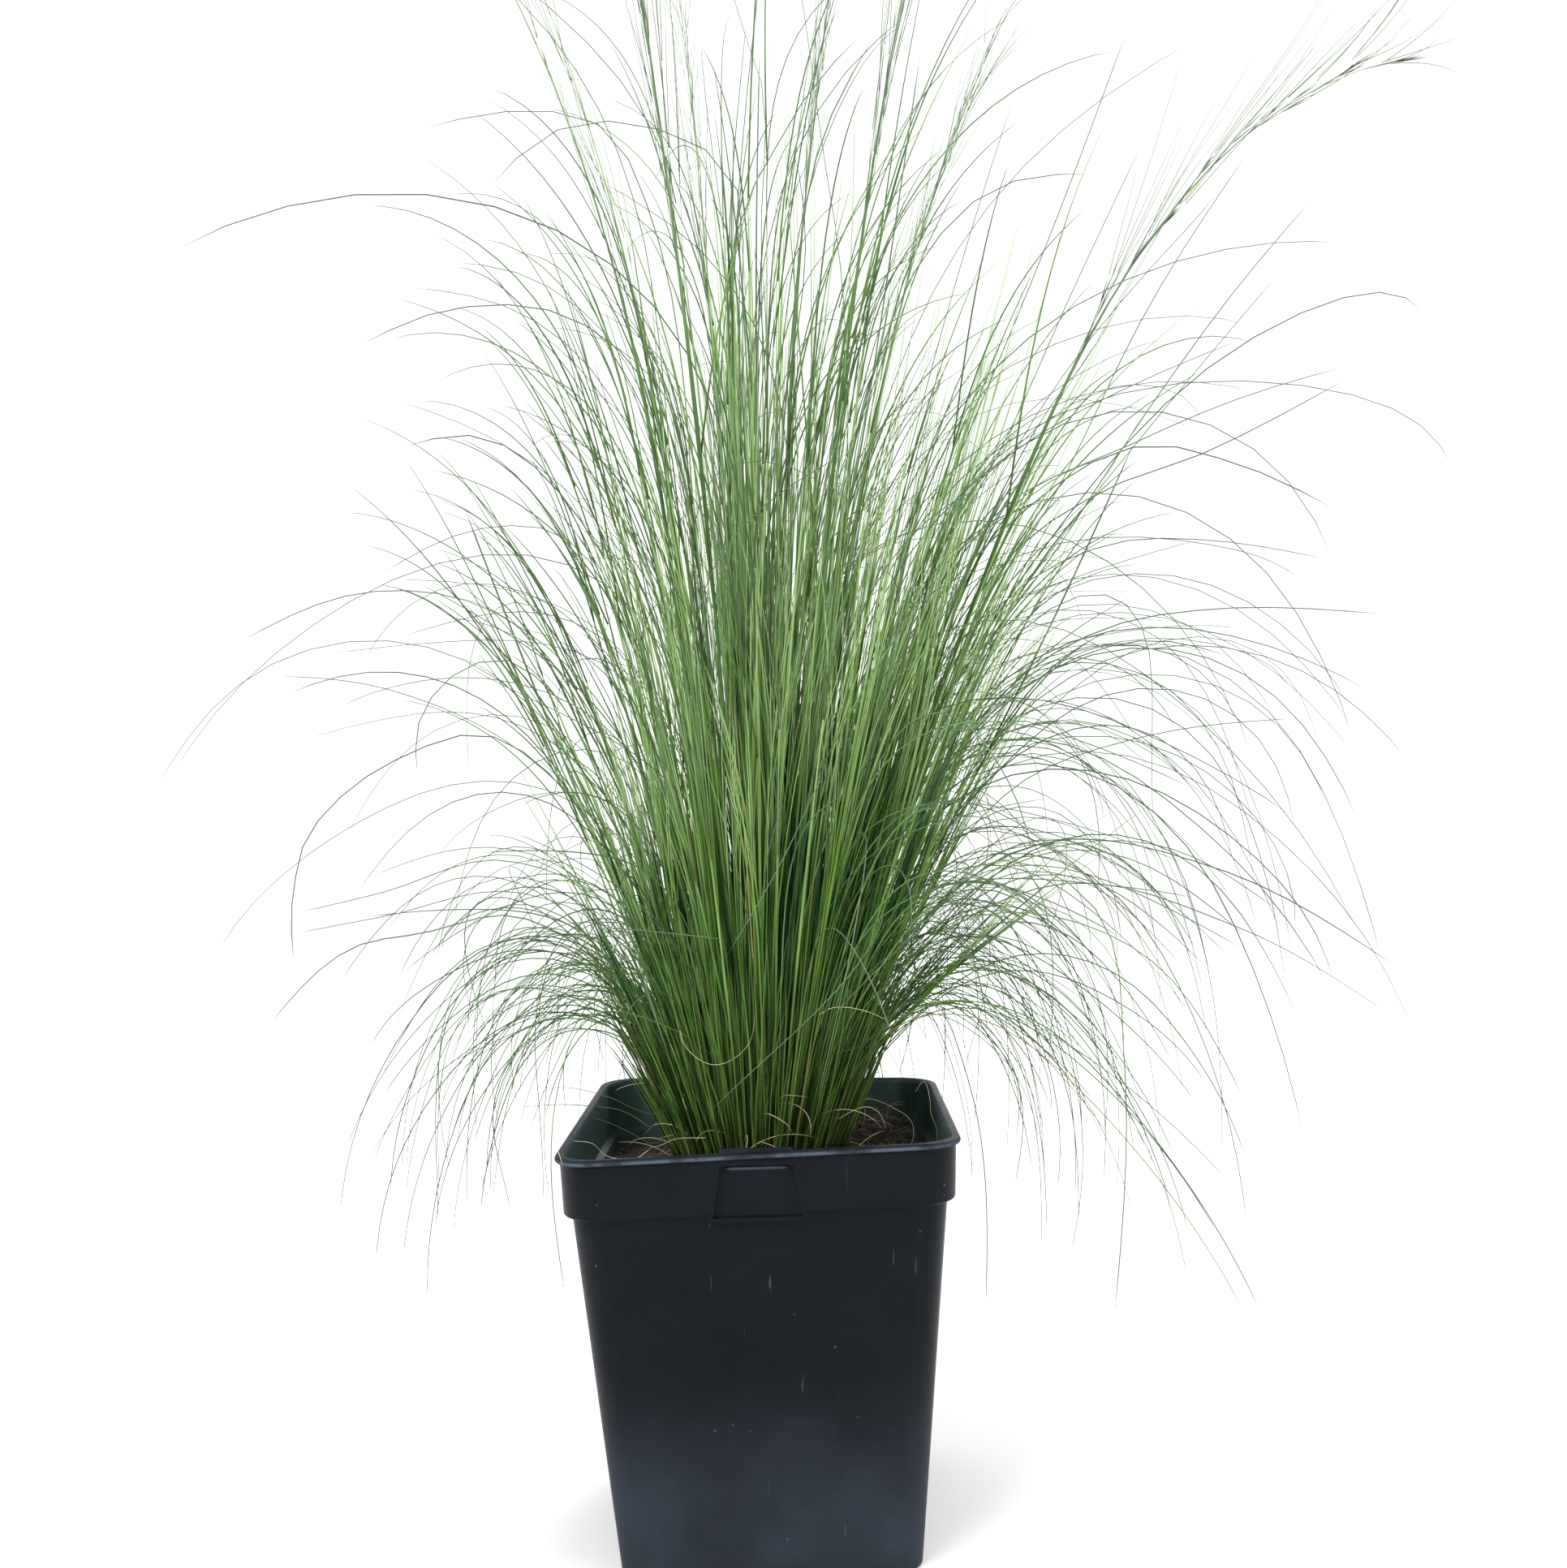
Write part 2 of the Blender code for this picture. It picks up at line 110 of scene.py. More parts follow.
# %% Node helpers
def linear(red, green, blue):
    """A screen colour as a linear one, with its alpha."""
    shares = [value / 255 for value in (red, green, blue)]
    return (*[s / 12.92 if s <= 0.04045 else ((s + 0.055) / 1.055) ** 2.4 for s in shares], 1.0)


def fill(tree, node, inputs):
    """Fill a node's inputs with values or with other nodes' outputs."""
    for key, value in inputs.items():
        if isinstance(value, bpy.types.NodeSocket):
            tree.links.new(value, node.inputs[key])
        else:
            node.inputs[key].default_value = value


def place(tree, kind, inputs=None, **settings):
    """Add a node with its settings, and fill its inputs."""
    node = tree.nodes.new(kind)
    for name, value in settings.items():
        setattr(node, name, value)
    fill(tree, node, inputs or {})
    return node


def new_group(name, inputs, outputs):
    """An empty shader group with its sockets. Inputs: (name, socket type, value)."""
    group = bpy.data.node_groups.new(name, "ShaderNodeTree")
    for socket_name, kind, value in inputs:
        socket = group.interface.new_socket(name=socket_name, in_out="INPUT", socket_type=kind)
        socket.default_value = value
    for socket_name, kind in outputs:
        group.interface.new_socket(name=socket_name, in_out="OUTPUT", socket_type=kind)
    return group, group.nodes.new("NodeGroupInput").outputs, group.nodes.new("NodeGroupOutput")


def new_material(name):
    """A material with its tree and its Principled shader."""
    material = bpy.data.materials.new(name)
    material.use_nodes = True
    return material, material.node_tree, material.node_tree.nodes["Principled BSDF"]


def mix_colour(tree, share, first, second, blend="MIX"):
    """The mix of two colours, as an output."""
    node = place(
        tree, "ShaderNodeMix", {"Factor": share, 6: first, 7: second},
        data_type="RGBA", blend_type=blend,
    )
    return node.outputs[2]


def ease(tree, value, low, high, to_low=0.0, to_high=1.0):
    """A value that rises smoothly from to_low at low to to_high at high, as an output."""
    inputs = {
        "Value": value, "From Min": low, "From Max": high, "To Min": to_low, "To Max": to_high}
    return place(tree, "ShaderNodeMapRange", inputs, interpolation_type="SMOOTHSTEP").outputs[0]


def combine(tree, operation, values, clamp=False):
    """Values added or multiplied one after another, as an output."""
    result = values[0]
    for value in values[1:]:
        node = place(
            tree, "ShaderNodeMath", {0: result, 1: value}, operation=operation, use_clamp=clamp)
        result = node.outputs[0]
    return result


def times(tree, *values):
    """The product of values, as an output."""
    return combine(tree, "MULTIPLY", values)


def plus(tree, *values):
    """The sum of values, no more than 1, as an output."""
    return combine(tree, "ADD", values, True)


def place_on_object(tree):
    """Where on its object a point is, in metres, as an output."""
    return place(tree, "ShaderNodeTexCoord").outputs["Object"]


def parts_of(tree, vector):
    """A vector's three parts, as outputs."""
    outputs = place(tree, "ShaderNodeSeparateXYZ", {0: vector}).outputs
    return outputs[0], outputs[1], outputs[2]


def noise_of(tree, vector, scale, detail=2.0, roughness=0.5):
    """Noise from 0 to 1, as an output."""
    inputs = {"Vector": vector, "Scale": scale, "Detail": detail, "Roughness": roughness}
    return place(tree, "ShaderNodeTexNoise", inputs).outputs[0]


def bump_of(tree, height, strength, distance):
    """The surface's direction, tilted by a height, as an output."""
    inputs = {"Height": height, "Strength": strength, "Distance": distance}
    return place(tree, "ShaderNodeBump", inputs).outputs[0]


print("screen grey 128 is", round(linear(128, 128, 128)[0], 3), "in linear light")

# %% [markdown]
# ## The paint of leaves
#
# A grass leaf changes colour along its length: olive at the foot, green in the middle and
# paler at its hair-thin tip. Each leaf differs from the next, from dull blue-green to fresh
# yellow-green, and some are dead straw. Painting thousands of leaves one by one isn't possible, so
# each leaf carries two numbers in its UV map: U says what kind of leaf it is, and V how far along
# it a point is. One node group turns the two into a colour, and each plant material feeds it its
# own shades.

# %% The leaf paint group
LEAF_MAP = "OFBake"  # the map that holds each strand's kind and its place along it
STRAW_FROM = 0.93  # leaves with a higher U are dead
STREAKS = (90.0, 7.0, 1.0)  # how many streaks a unit of U and a unit of V hold

leaf_paint, given, paint_out = new_group(
    "leaf_paint",
    [
        ("Foot", "NodeSocketColor", linear(73, 99, 46)),
        ("Dull", "NodeSocketColor", linear(22, 62, 31)),
        ("Fresh", "NodeSocketColor", linear(100, 140, 50)),
        ("Tip", "NodeSocketColor", linear(154, 188, 122)),
        ("Straw", "NodeSocketColor", linear(148, 140, 92)),
        ("Foot length", "NodeSocketFloat", 0.50),
        ("Tip start", "NodeSocketFloat", 0.52),
    ],
    [("Colour", "NodeSocketColor"), ("Roughness", "NodeSocketFloat")],
)
leaf_place = place(leaf_paint, "ShaderNodeUVMap", uv_map=LEAF_MAP).outputs[0]
kind_of_leaf, along_leaf, _ = parts_of(leaf_paint, leaf_place)
green = mix_colour(
    leaf_paint, ease(leaf_paint, kind_of_leaf, 0.1, 0.85), given["Dull"], given["Fresh"])
green = mix_colour(
    leaf_paint, ease(leaf_paint, along_leaf, 0.0, given["Foot length"]), given["Foot"], green)
green = mix_colour(
    leaf_paint, ease(leaf_paint, along_leaf, given["Tip start"], 1.0), green, given["Tip"])
streak_place = place(leaf_paint, "ShaderNodeMapping", {"Vector": leaf_place, "Scale": STREAKS})
streaks = noise_of(leaf_paint, streak_place.outputs[0], 1.0)
shade = ease(leaf_paint, streaks, 0.3, 0.7, 0.78, 1.2)
shade_colour = place(leaf_paint, "ShaderNodeCombineColor", {0: shade, 1: shade, 2: shade})
green = mix_colour(leaf_paint, 1.0, green, shade_colour.outputs[0], "MULTIPLY")
is_dead = ease(leaf_paint, kind_of_leaf, STRAW_FROM - 0.01, STRAW_FROM)
fill(leaf_paint, paint_out, {
    "Colour": mix_colour(leaf_paint, is_dead, green, given["Straw"]),
    "Roughness": ease(leaf_paint, streaks, 0.3, 0.7, 0.40, 0.58),
})
print("leaf paint takes", [name.name for name in given if name.name])

# %% [markdown]
# Each plant material could have its own nodes, but then six trees would say the same thing. So each
# is only a set of shades for the leaf paint: leaves, finer and duller leaves, bright sheaths, the
# crown with its browner foot, greyish flower heads, and dead straw.

# %% Materials of the plant
LEAF_SPECULAR = 0.14
FINE_LEAF_SPECULAR = 0.12


def plant_material(name, shades, specular=LEAF_SPECULAR):
    """A plant material that feeds its own shades to the leaf paint."""
    material, tree, shader = new_material(name)
    paint = place(tree, "ShaderNodeGroup", shades, node_tree=leaf_paint)
    fill(tree, shader, {
        "Base Color": paint.outputs["Colour"], "Roughness": paint.outputs["Roughness"],
        "Specular IOR Level": specular,
    })
    return material


leaf_green = plant_material("leaf_green", {})
fine_green = plant_material("fine_green", {
    "Dull": linear(54, 84, 50), "Fresh": linear(108, 146, 80), "Tip": linear(88, 108, 88),
    "Tip start": 0.40,
}, FINE_LEAF_SPECULAR)
sheath_green = plant_material("sheath_green", {
    "Foot": linear(72, 90, 38), "Dull": linear(68, 104, 48), "Fresh": linear(112, 148, 72),
    "Tip": linear(136, 166, 108), "Foot length": 0.42,
})
crown_green = plant_material("crown_green", {
    "Foot": linear(72, 68, 34), "Dull": linear(36, 58, 24), "Fresh": linear(100, 136, 58),
    "Tip": linear(74, 110, 50), "Straw": linear(124, 112, 74), "Foot length": 0.4,
})
flower_green = plant_material("flower_green", {
    "Foot": linear(92, 118, 72), "Dull": linear(66, 86, 72), "Fresh": linear(112, 134, 104),
    "Tip": linear(140, 154, 142), "Straw": linear(72, 72, 70), "Tip start": 0.35,
})
dead_straw = plant_material("dead_straw", {"Straw": linear(190, 180, 140)})
print("plant materials:", [m.name for m in (leaf_green, sheath_green, crown_green, flower_green)])

# %% [markdown]
# ## Strands
#
# Leaves, awns, sheaths and rootlets are all strands: thin closed tubes that end in a point. One
# master strand is extruded ring by ring from a small circle. It is then copied thousands of times
# with arrays: every copy's ring is moved to its own place along its own path, turned across the
# path, and scaled to its own width. All strands of a tuft are joined in one mesh. A modifier could
# bend a strand along a curve, but one curve for each of thousands of leaves would be too slow.

# %% The master strand
U_ROUND_STRAND = 0.004  # how far U changes round one strand, so that its sides get their own streaks


def make_master(sides, rings):
    """A closed strand along +Z with one unit from ring to ring, ending in a point, as arrays."""
    bm = bmesh.new()
    bmesh.ops.create_circle(bm, cap_ends=True, segments=sides, radius=1.0)
    face = bm.faces[:][0]
    for _ in range(rings):
        face = bmesh.ops.extrude_discrete_faces(bm, faces=[face])["faces"][0]
        bmesh.ops.translate(bm, vec=(0.0, 0.0, 1.0), verts=face.verts)
    bmesh.ops.pointmerge(bm, verts=face.verts[:], merge_co=(0.0, 0.0, float(rings)))
    bmesh.ops.holes_fill(bm, edges=[edge for edge in bm.edges if edge.is_boundary])
    bmesh.ops.recalc_face_normals(bm, faces=bm.faces)
    bm.verts.index_update()
    corners = np.array([tuple(vert.co) for vert in bm.verts])
    sizes = np.array([len(face.verts) for face in bm.faces])
    loops = np.array([vert.index for face in bm.faces for vert in face.verts])
    bm.free()
    column = np.round(np.arctan2(corners[:, 1], corners[:, 0]) / (2 * pi) * sides) % sides
    return {
        "across": corners[:, :2], "ring": np.round(corners[:, 2]).astype(int),
        "column": column, "sizes": sizes, "loops": loops, "rings": rings,
    }


LEAF_MASTER = make_master(3, 15)
ARCH_MASTER = make_master(3, 25)
SHEATH_MASTER = make_master(5, 14)
AWN_MASTER = make_master(3, 7)
FLORET_MASTER = make_master(4, 4)
print("a leaf has", len(LEAF_MASTER["sizes"]), "faces, an awn", len(AWN_MASTER["sizes"]))

# %% [markdown]
# Copies are laid as arrays, and only the finished arrays are handed to a mesh. Each ring of a copy
# stands square to its path. Its sides are kept level, so that a strand doesn't twist where it bends.

# %% Lay and join strands
def lay_strands(master, points, widths, kinds, twists):
    """Copy the master along each path. Points are (strand, ring, 3) and widths (strand, ring)."""
    steps = np.gradient(points, axis=1)
    along = steps / np.linalg.norm(steps, axis=2, keepdims=True).clip(1e-9)
    level = np.stack([-along[:, :, 1], along[:, :, 0], np.zeros(along.shape[:2])], axis=2)
    mean_level = level.mean(axis=1, keepdims=True)
    mean_level[np.linalg.norm(mean_level, axis=2)[:, 0] < 1e-4] = (1.0, 0.0, 0.0)
    side = mean_level - along * (mean_level * along).sum(axis=2, keepdims=True)
    side = side / np.linalg.norm(side, axis=2, keepdims=True).clip(1e-9)
    upper = np.cross(along, side)
    ring = master["ring"]
    turned_x = (
        master["across"][None, :, 0] * np.cos(twists)[:, None]
        - master["across"][None, :, 1] * np.sin(twists)[:, None]
    )
    turned_y = (
        master["across"][None, :, 0] * np.sin(twists)[:, None]
        + master["across"][None, :, 1] * np.cos(twists)[:, None]
    )
    wide = widths[:, ring]
    places = points[:, ring]
    places = places + side[:, ring] * (turned_x * wide)[:, :, None]
    places = places + upper[:, ring] * (turned_y * wide)[:, :, None]
    count = len(points)
    first = (np.arange(count) * len(ring))[:, None]
    map_u = kinds[:, None] + U_ROUND_STRAND * master["column"][None, :] / master["column"].max()
    map_v = np.broadcast_to(ring / master["rings"], map_u.shape)
    spots = np.stack([map_u, map_v], axis=2)[:, master["loops"]]
    return {
        "verts": places.reshape(-1, 3),
        "loops": (first + master["loops"][None, :]).ravel(),
        "sizes": np.tile(master["sizes"], count),
        "spots": spots.reshape(-1, 2),
    }


def join_strands(name, parts, materials, part_slots=None):
    """One mesh object from several sets of strands, each with its own material slot."""
    starts = np.cumsum([0] + [len(part["verts"]) for part in parts])
    verts = np.concatenate([part["verts"] for part in parts])
    loops = np.concatenate([part["loops"] + start for part, start in zip(parts, starts)])
    sizes = np.concatenate([part["sizes"] for part in parts])
    spots = np.concatenate([part["spots"] for part in parts])
    slots = np.repeat(part_slots or [0] * len(parts), [len(part["sizes"]) for part in parts])
    mesh = bpy.data.meshes.new(name)
    mesh.vertices.add(len(verts))
    mesh.vertices.foreach_set("co", verts.astype(np.float32).ravel())
    mesh.loops.add(len(loops))
    mesh.loops.foreach_set("vertex_index", loops.astype(np.int32))
    mesh.polygons.add(len(sizes))
    mesh.polygons.foreach_set("loop_start", (np.cumsum(sizes) - sizes).astype(np.int32))
    mesh.polygons.foreach_set("material_index", slots.astype(np.int32))
    mesh.update(calc_edges=True)
    layer = mesh.uv_layers.new(name=LEAF_MAP)
    layer.uv.foreach_set("vector", spots.astype(np.float32).ravel())
    mesh.validate()
    mesh.shade_smooth()
    for material in materials:
        mesh.materials.append(material)
    item = bpy.data.objects.new(name, mesh)
    bpy.context.scene.collection.objects.link(item)
    return item


def add_piece(item, slot, *nodes):
    """Fix a finished piece to the one body, and hide the solids that it stands for.
    Its slot is not used.
    """
    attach(item, "root")
    if nodes:
        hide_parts(*nodes)
    return item


print("strands are joined on the map", LEAF_MAP)

# %% [markdown]
# ## How a leaf bends
#
# A leaf starts almost upright and leans over more and more, because the weight beyond each point
# bends it. Its lean is therefore a power of the share of its length. A hair-fine leaf can't hold
# itself up at all beyond some point: it bends over at a knee there, and hangs nearly straight from
# it. The rings of tufts, their headings, leans and lengths are those that the solids were built
# from, so the leaves lie where the solids lie.

# %% The rings of tufts
SEAT_Z = 0.1963
SOIL_TOP_Z = 0.1500
FOOT_Z = SOIL_TOP_Z - 0.002
CROWN_TAPER = 0.66  # how far a leaf's foot is from the middle, as a share of its seat's distance
CROWN_SHIFT = np.array([-0.003, 0.0, 0.0])  # the clump's foot stands a little to the left
# A ring's values: how many tufts it has, its first tuft's heading and the step to the next, how far
# out its seats are, its tufts' lean at the seat and their length, and how far their leaves spread.
# Then the erect leaves in a tuft, the longest's share of the tuft's length, how they scatter and
# open towards their tips, the arching leaves in a tuft, how much fuller and longer the tufts at the
# fuller side are, how fresh the green is, the number of shoots, and the limits of the arching
# leaves' lean, tip lean, length and knee. Angles are in degrees.
HEART = {
    "count": 3, "first": 0, "step": 120, "radius": 0.0065, "lean": 2, "length": 0.515, "spread": 20,
    "erect": 64, "erect_share": 0.97, "scatter": 40, "opening": 8, "arching": 7, "fuller": 0.40,
    "side": 0.03, "fresh": 0.50, "shoots": 6,
    "arch_lean": (1, 10), "arch_tip": (70, 160), "arch_length": (0.30, 0.50),
    "arch_knee": (0.50, 0.90),
}
SPIRE = {
    "count": 7, "first": 26, "step": 51.4, "radius": 0.0170, "lean": 5, "length": 0.485, "spread": 12,
    "erect": 64, "erect_share": 0.88, "scatter": 20, "opening": 9, "arching": 11, "fuller": 0.60,
    "side": 0.05, "fresh": 0.46, "shoots": 5,
    "arch_lean": (4, 15), "arch_tip": (90, 175), "arch_length": (0.26, 0.45),
    "arch_knee": (0.45, 0.85),
}
FAN = {
    "count": 11, "first": 0, "step": 32.7, "radius": 0.0280, "lean": 11, "length": 0.440,
    "spread": 8.5,
    "erect": 52, "erect_share": 0.80, "scatter": 14, "opening": 11, "arching": 14, "fuller": 0.76,
    "side": 0.12, "fresh": 0.42, "shoots": 4,
    "arch_lean": (9, 24), "arch_tip": (132, 195), "arch_length": (0.18, 0.37),
    "arch_knee": (0.40, 0.80),
}
ARCH = {
    "count": 12, "first": 15, "step": 30, "radius": 0.0385, "lean": 18, "length": 0.365,
    "spread": 8.5,
    "erect": 35, "erect_share": 0.72, "scatter": 12, "opening": 12, "arching": 17, "fuller": 0.14,
    "side": 0.12, "fresh": 0.46, "shoots": 2,
    "arch_lean": (14, 34), "arch_tip": (142, 200), "arch_length": (0.12, 0.25),
    "arch_knee": (0.30, 0.65),
}
SKIRT = {
    "count": 8, "first": -24, "step": 32, "radius": 0.0480, "lean": 36, "length": 0.250,
    "spread": 9.5,
    "erect": 8, "erect_share": 0.76, "scatter": 14, "opening": 16, "arching": 20, "fuller": 0.05,
    "side": 0.06, "fresh": 0.42, "shoots": 0,
    "arch_lean": (18, 48), "arch_tip": (150, 205), "arch_length": (0.10, 0.22),
    "arch_knee": (0.18, 0.45),
}
TUFT_RINGS = [HEART, SPIRE, FAN, ARCH, SKIRT]
LENGTH_VARIATION = 0.04
ALTERNATE_LENGTH = 0.05
LONGER_HEADING = 5
LONGER = 0.10
TUFT_SEED = 11


def list_tufts():
    """Each tuft's ring, heading and length, as the solids were built."""
    rng = random.Random(TUFT_SEED)
    tufts = []
    for ring in TUFT_RINGS:
        for seat in range(ring["count"]):
            heading = ring["first"] + ring["step"] * seat
            change = ALTERNATE_LENGTH if seat % 2 else -ALTERNATE_LENGTH
            change += rng.uniform(-LENGTH_VARIATION, LENGTH_VARIATION)
            change += LONGER * cos(radians(heading - LONGER_HEADING))
            rng.random()  # the solid's tip lean took this draw
            tufts.append((ring, heading, ring["length"] * (1.0 + change)))
    return tufts


tufts = list_tufts()
print(len(tufts), "tufts, the longest", round(max(tuft[2] for tuft in tufts), 3), "m")

# %% [markdown]
# All strands of one kind are bent at once, as rows of one array. Their headings drift a little along
# the way, so that no leaf lies in one plane. Kinds, widths and turns are drawn from seeded numbers.

# %% The path, the width and the kind of a strand
KNEE_LENGTH = 0.55  # the share of a leaf's length over which its knee bends
KNEE_SHARE = 0.58  # the share of the whole bend that the knee takes
DEAD_SHARE = 0.012
DEAD_KINDS = (STRAW_FROM + 0.005, 0.99)
LIVE_KINDS = (0.02, 0.9)


def between(rng, limits, count):
    """Random values between two limits."""
    return rng.uniform(limits[0], limits[1], count)


def any_turn(rng, count):
    """Random turns of strands round their own lines."""
    return rng.uniform(0, 2 * pi, count)


def with_dead(rng, kinds, share=DEAD_SHARE):
    """Kinds of leaves, of which a share is made dead ones."""
    dead = rng.random(len(kinds)) < share
    kinds[dead] = between(rng, DEAD_KINDS, dead.sum())
    return kinds


def level_directions(headings):
    """Level unit vectors at headings in degrees."""
    turn = np.radians(headings)
    return np.stack([np.cos(turn), np.sin(turn), np.zeros_like(turn)], axis=-1)


def bend_paths(starts, headings, leans, tip_leans, bends, lengths, rings, drifts, knees=None):
    """Points of strands that rise from their starts and bend over, as (strand, ring, 3).

    Without knees the bend grows as a power of the share of the length. With them, most of it comes
    round each strand's own knee, and the tip beyond it hangs straight.
    """
    share = (np.arange(rings) + 0.5) / rings
    over = share ** bends[:, None]
    if knees is not None:
        turned = ((share - knees[:, None]) / KNEE_LENGTH + 0.5).clip(0.0, 1.0)
        over = (1.0 - KNEE_SHARE) * over + KNEE_SHARE * turned * turned * (3.0 - 2.0 * turned)
    angle = np.radians(leans[:, None] + (tip_leans - leans)[:, None] * over)
    turn = headings[:, None] + drifts[:, None] * share ** 2
    step = level_directions(turn) * np.sin(angle)[:, :, None]
    step[:, :, 2] = np.cos(angle)
    step = step * (lengths / rings)[:, None, None]
    return np.concatenate([starts[:, None], starts[:, None] + np.cumsum(step, axis=1)], axis=1)


def taper(widths, rings, tip_share=0.14, power=1.6):
    """Half widths that narrow from the foot to the tip, as (strand, ring).

    The tip share is the share of the width that is left at the tip. A higher power narrows later.
    """
    share = np.linspace(0.0, 1.0, rings + 1)
    return widths[:, None] * (1.0 - (1.0 - tip_share) * share ** power)[None, :]


print("a knee bends over", KNEE_LENGTH, "of a leaf's length")

# %% [markdown]
# ## The pot
#
# The pot is injection moulded in one piece: a tapered body with rounded corners, a deep collar
# that lets pots be pulled apart, a thin lip, and a recess in the collar for a plant label. It can
# be lofted: a level square with rounded corners is extruded from height to height, up the outside,
# over the lip and down the inside. The recess, its slot, the tab above it and the drain arches are
# then cut or added with Booleans. The outline is the solid's, with rounder corners and a rounder
# lip, because the solid's few facets would show in the shine.

# %% The pot's sizes
pot_low, pot_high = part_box("pot")
RIM_WIDTH = 0.160
POT_HEIGHT = 0.172
LIP_THICKNESS = 0.003
LIP_OVERHANG = 0.0018
COLLAR_HEIGHT = 0.0215
COLLAR_TAPER = 0.0008
COLLAR_EDGE = 0.0012
BODY_TOP_WIDTH = 0.1487
FOOT_WIDTH = 0.1213
FOOT_EDGE = 0.0010
CORNER_RADIUS = 0.0130
WALL = 0.0016
FLOOR = 0.0020
RIM_TWIST = 0.0020
RECESS_TOP_WIDTH = 0.0285
RECESS_FOOT_WIDTH = 0.0350
RECESS_TOP_DROP = 0.0052
RECESS_STEP = 0.0004
SLOT_WIDTH = 0.0250
SLOT_HEIGHT = 0.0011
TAB_HEIGHT = 0.0012
ARCH_WIDTH = 0.0260
ARCH_HEIGHT = 0.0040
ARCH_DEPTH = 0.0060
CUT_BEYOND = 0.002  # how far a cutter reaches out of the plastic
DRAIN_RADIUS = 0.0045
DRAIN_PLACE = 0.0400
CORNER_SEGMENTS = 14
LIP_FLAT = 0.0001
COLLAR_FILLET = 0.0004
LIP_FILLET = 0.0003
FILLET_GROWTH = 0.0006
LIP_ROUND_HEIGHT = 0.0009
LIP_ROUND_WIDTH = 0.0012
SOFT_EDGE = 0.00028
COLLAR_TOP_Z = POT_HEIGHT - LIP_THICKNESS
COLLAR_FOOT_Z = COLLAR_TOP_Z - COLLAR_HEIGHT
print("pot solid is", round(pot_high.x - pot_low.x, 4), "m wide; rim here", RIM_WIDTH)

# %% [markdown]
# The wall could be a plain block with a Solidify modifier, but then the collar and the lip would be
# as thick as the rest. A loft gives each its own thickness. Each level is the one before it, scaled
# and lifted, so the corners stay in line.

# %% Loft the pot's wall
def round_edge(height, width, radius, from_angle, to_angle, steps):
    """Levels round a moulded edge whose arc's middle is at this height and full width."""
    levels = []
    for step in range(steps + 1):
        angle = radians(from_angle + (to_angle - from_angle) * step / steps)
        levels.append((height + radius * sin(angle), width + 2 * radius * cos(angle)))
    return levels


def pot_levels():
    """(height, width) up the pot's outside, over the lip and down its inside."""
    collar_width = RIM_WIDTH - 2 * LIP_OVERHANG
    collar_foot_width = collar_width - 2 * COLLAR_TAPER
    body_inner_foot = FOOT_WIDTH + (BODY_TOP_WIDTH - FOOT_WIDTH) * FLOOR / COLLAR_FOOT_Z
    lip_radius = LIP_THICKNESS / 2 - LIP_FLAT
    levels = [(0.0, FOOT_WIDTH - 2 * FOOT_EDGE)]
    levels += round_edge(FOOT_EDGE, FOOT_WIDTH - 2 * FOOT_EDGE, FOOT_EDGE, -60, 0, 3)
    levels += [
        (COLLAR_FOOT_Z - COLLAR_FILLET, BODY_TOP_WIDTH),
        (COLLAR_FOOT_Z, BODY_TOP_WIDTH + FILLET_GROWTH),
    ]
    levels += round_edge(
        COLLAR_FOOT_Z + COLLAR_EDGE, collar_foot_width - 2 * COLLAR_EDGE, COLLAR_EDGE, -90, 0, 4)
    levels += [
        (COLLAR_TOP_Z - LIP_FILLET, collar_width),
        (COLLAR_TOP_Z, collar_width + FILLET_GROWTH),
    ]
    levels += round_edge(
        COLLAR_TOP_Z + lip_radius, RIM_WIDTH - 2 * lip_radius, lip_radius, -70, 90, 8)
    levels += [
        (POT_HEIGHT - LIP_FLAT, collar_width - 2 * WALL + LIP_ROUND_WIDTH),
        (POT_HEIGHT - LIP_ROUND_HEIGHT, collar_width - 2 * WALL),
        (COLLAR_FOOT_Z + WALL, collar_foot_width - 2 * WALL),
        (COLLAR_FOOT_Z + WALL * 0.4, BODY_TOP_WIDTH - 2 * WALL),
        (FLOOR, body_inner_foot - 2 * WALL),
    ]
    return levels


def loft_pot():
    """The pot's wall and floor as one closed bmesh."""
    levels = pot_levels()
    height, width = levels[0]
    bm = bmesh.new()
    bmesh.ops.create_grid(bm, x_segments=1, y_segments=1, size=width / 2)
    bmesh.ops.bevel(
        bm, geom=bm.verts[:], offset=CORNER_RADIUS - FOOT_EDGE, offset_type="OFFSET",
        affect="VERTICES", segments=CORNER_SEGMENTS, profile=0.5, material=-1,
    )
    face = bm.faces[:][0]
    for next_height, next_width in levels[1:]:
        face = bmesh.ops.extrude_discrete_faces(bm, faces=[face])["faces"][0]
        ratio = next_width / width
        bmesh.ops.scale(bm, vec=(ratio, ratio, 1.0), verts=face.verts)
        bmesh.ops.translate(bm, vec=(0.0, 0.0, next_height - height), verts=face.verts)
        height, width = next_height, next_width
    bmesh.ops.holes_fill(bm, edges=[edge for edge in bm.edges if edge.is_boundary])
    bmesh.ops.recalc_face_normals(bm, faces=bm.faces)
    twist = RIM_TWIST / (RIM_WIDTH / 2) ** 2
    for vert in bm.verts:
        vert.co.z -= twist * vert.co.x * vert.co.y * (vert.co.z / POT_HEIGHT)
    return bm


def object_from(bm, name):
    """A bmesh as a linked object."""
    mesh = bpy.data.meshes.new(name)
    bm.to_mesh(mesh)
    bm.free()
    item = bpy.data.objects.new(name, mesh)
    bpy.context.scene.collection.objects.link(item)
    return item


pot = object_from(loft_pot(), "nursery_pot")
print("pot wall:", len(pot.data.polygons), "faces in", len(pot_levels()), "levels")

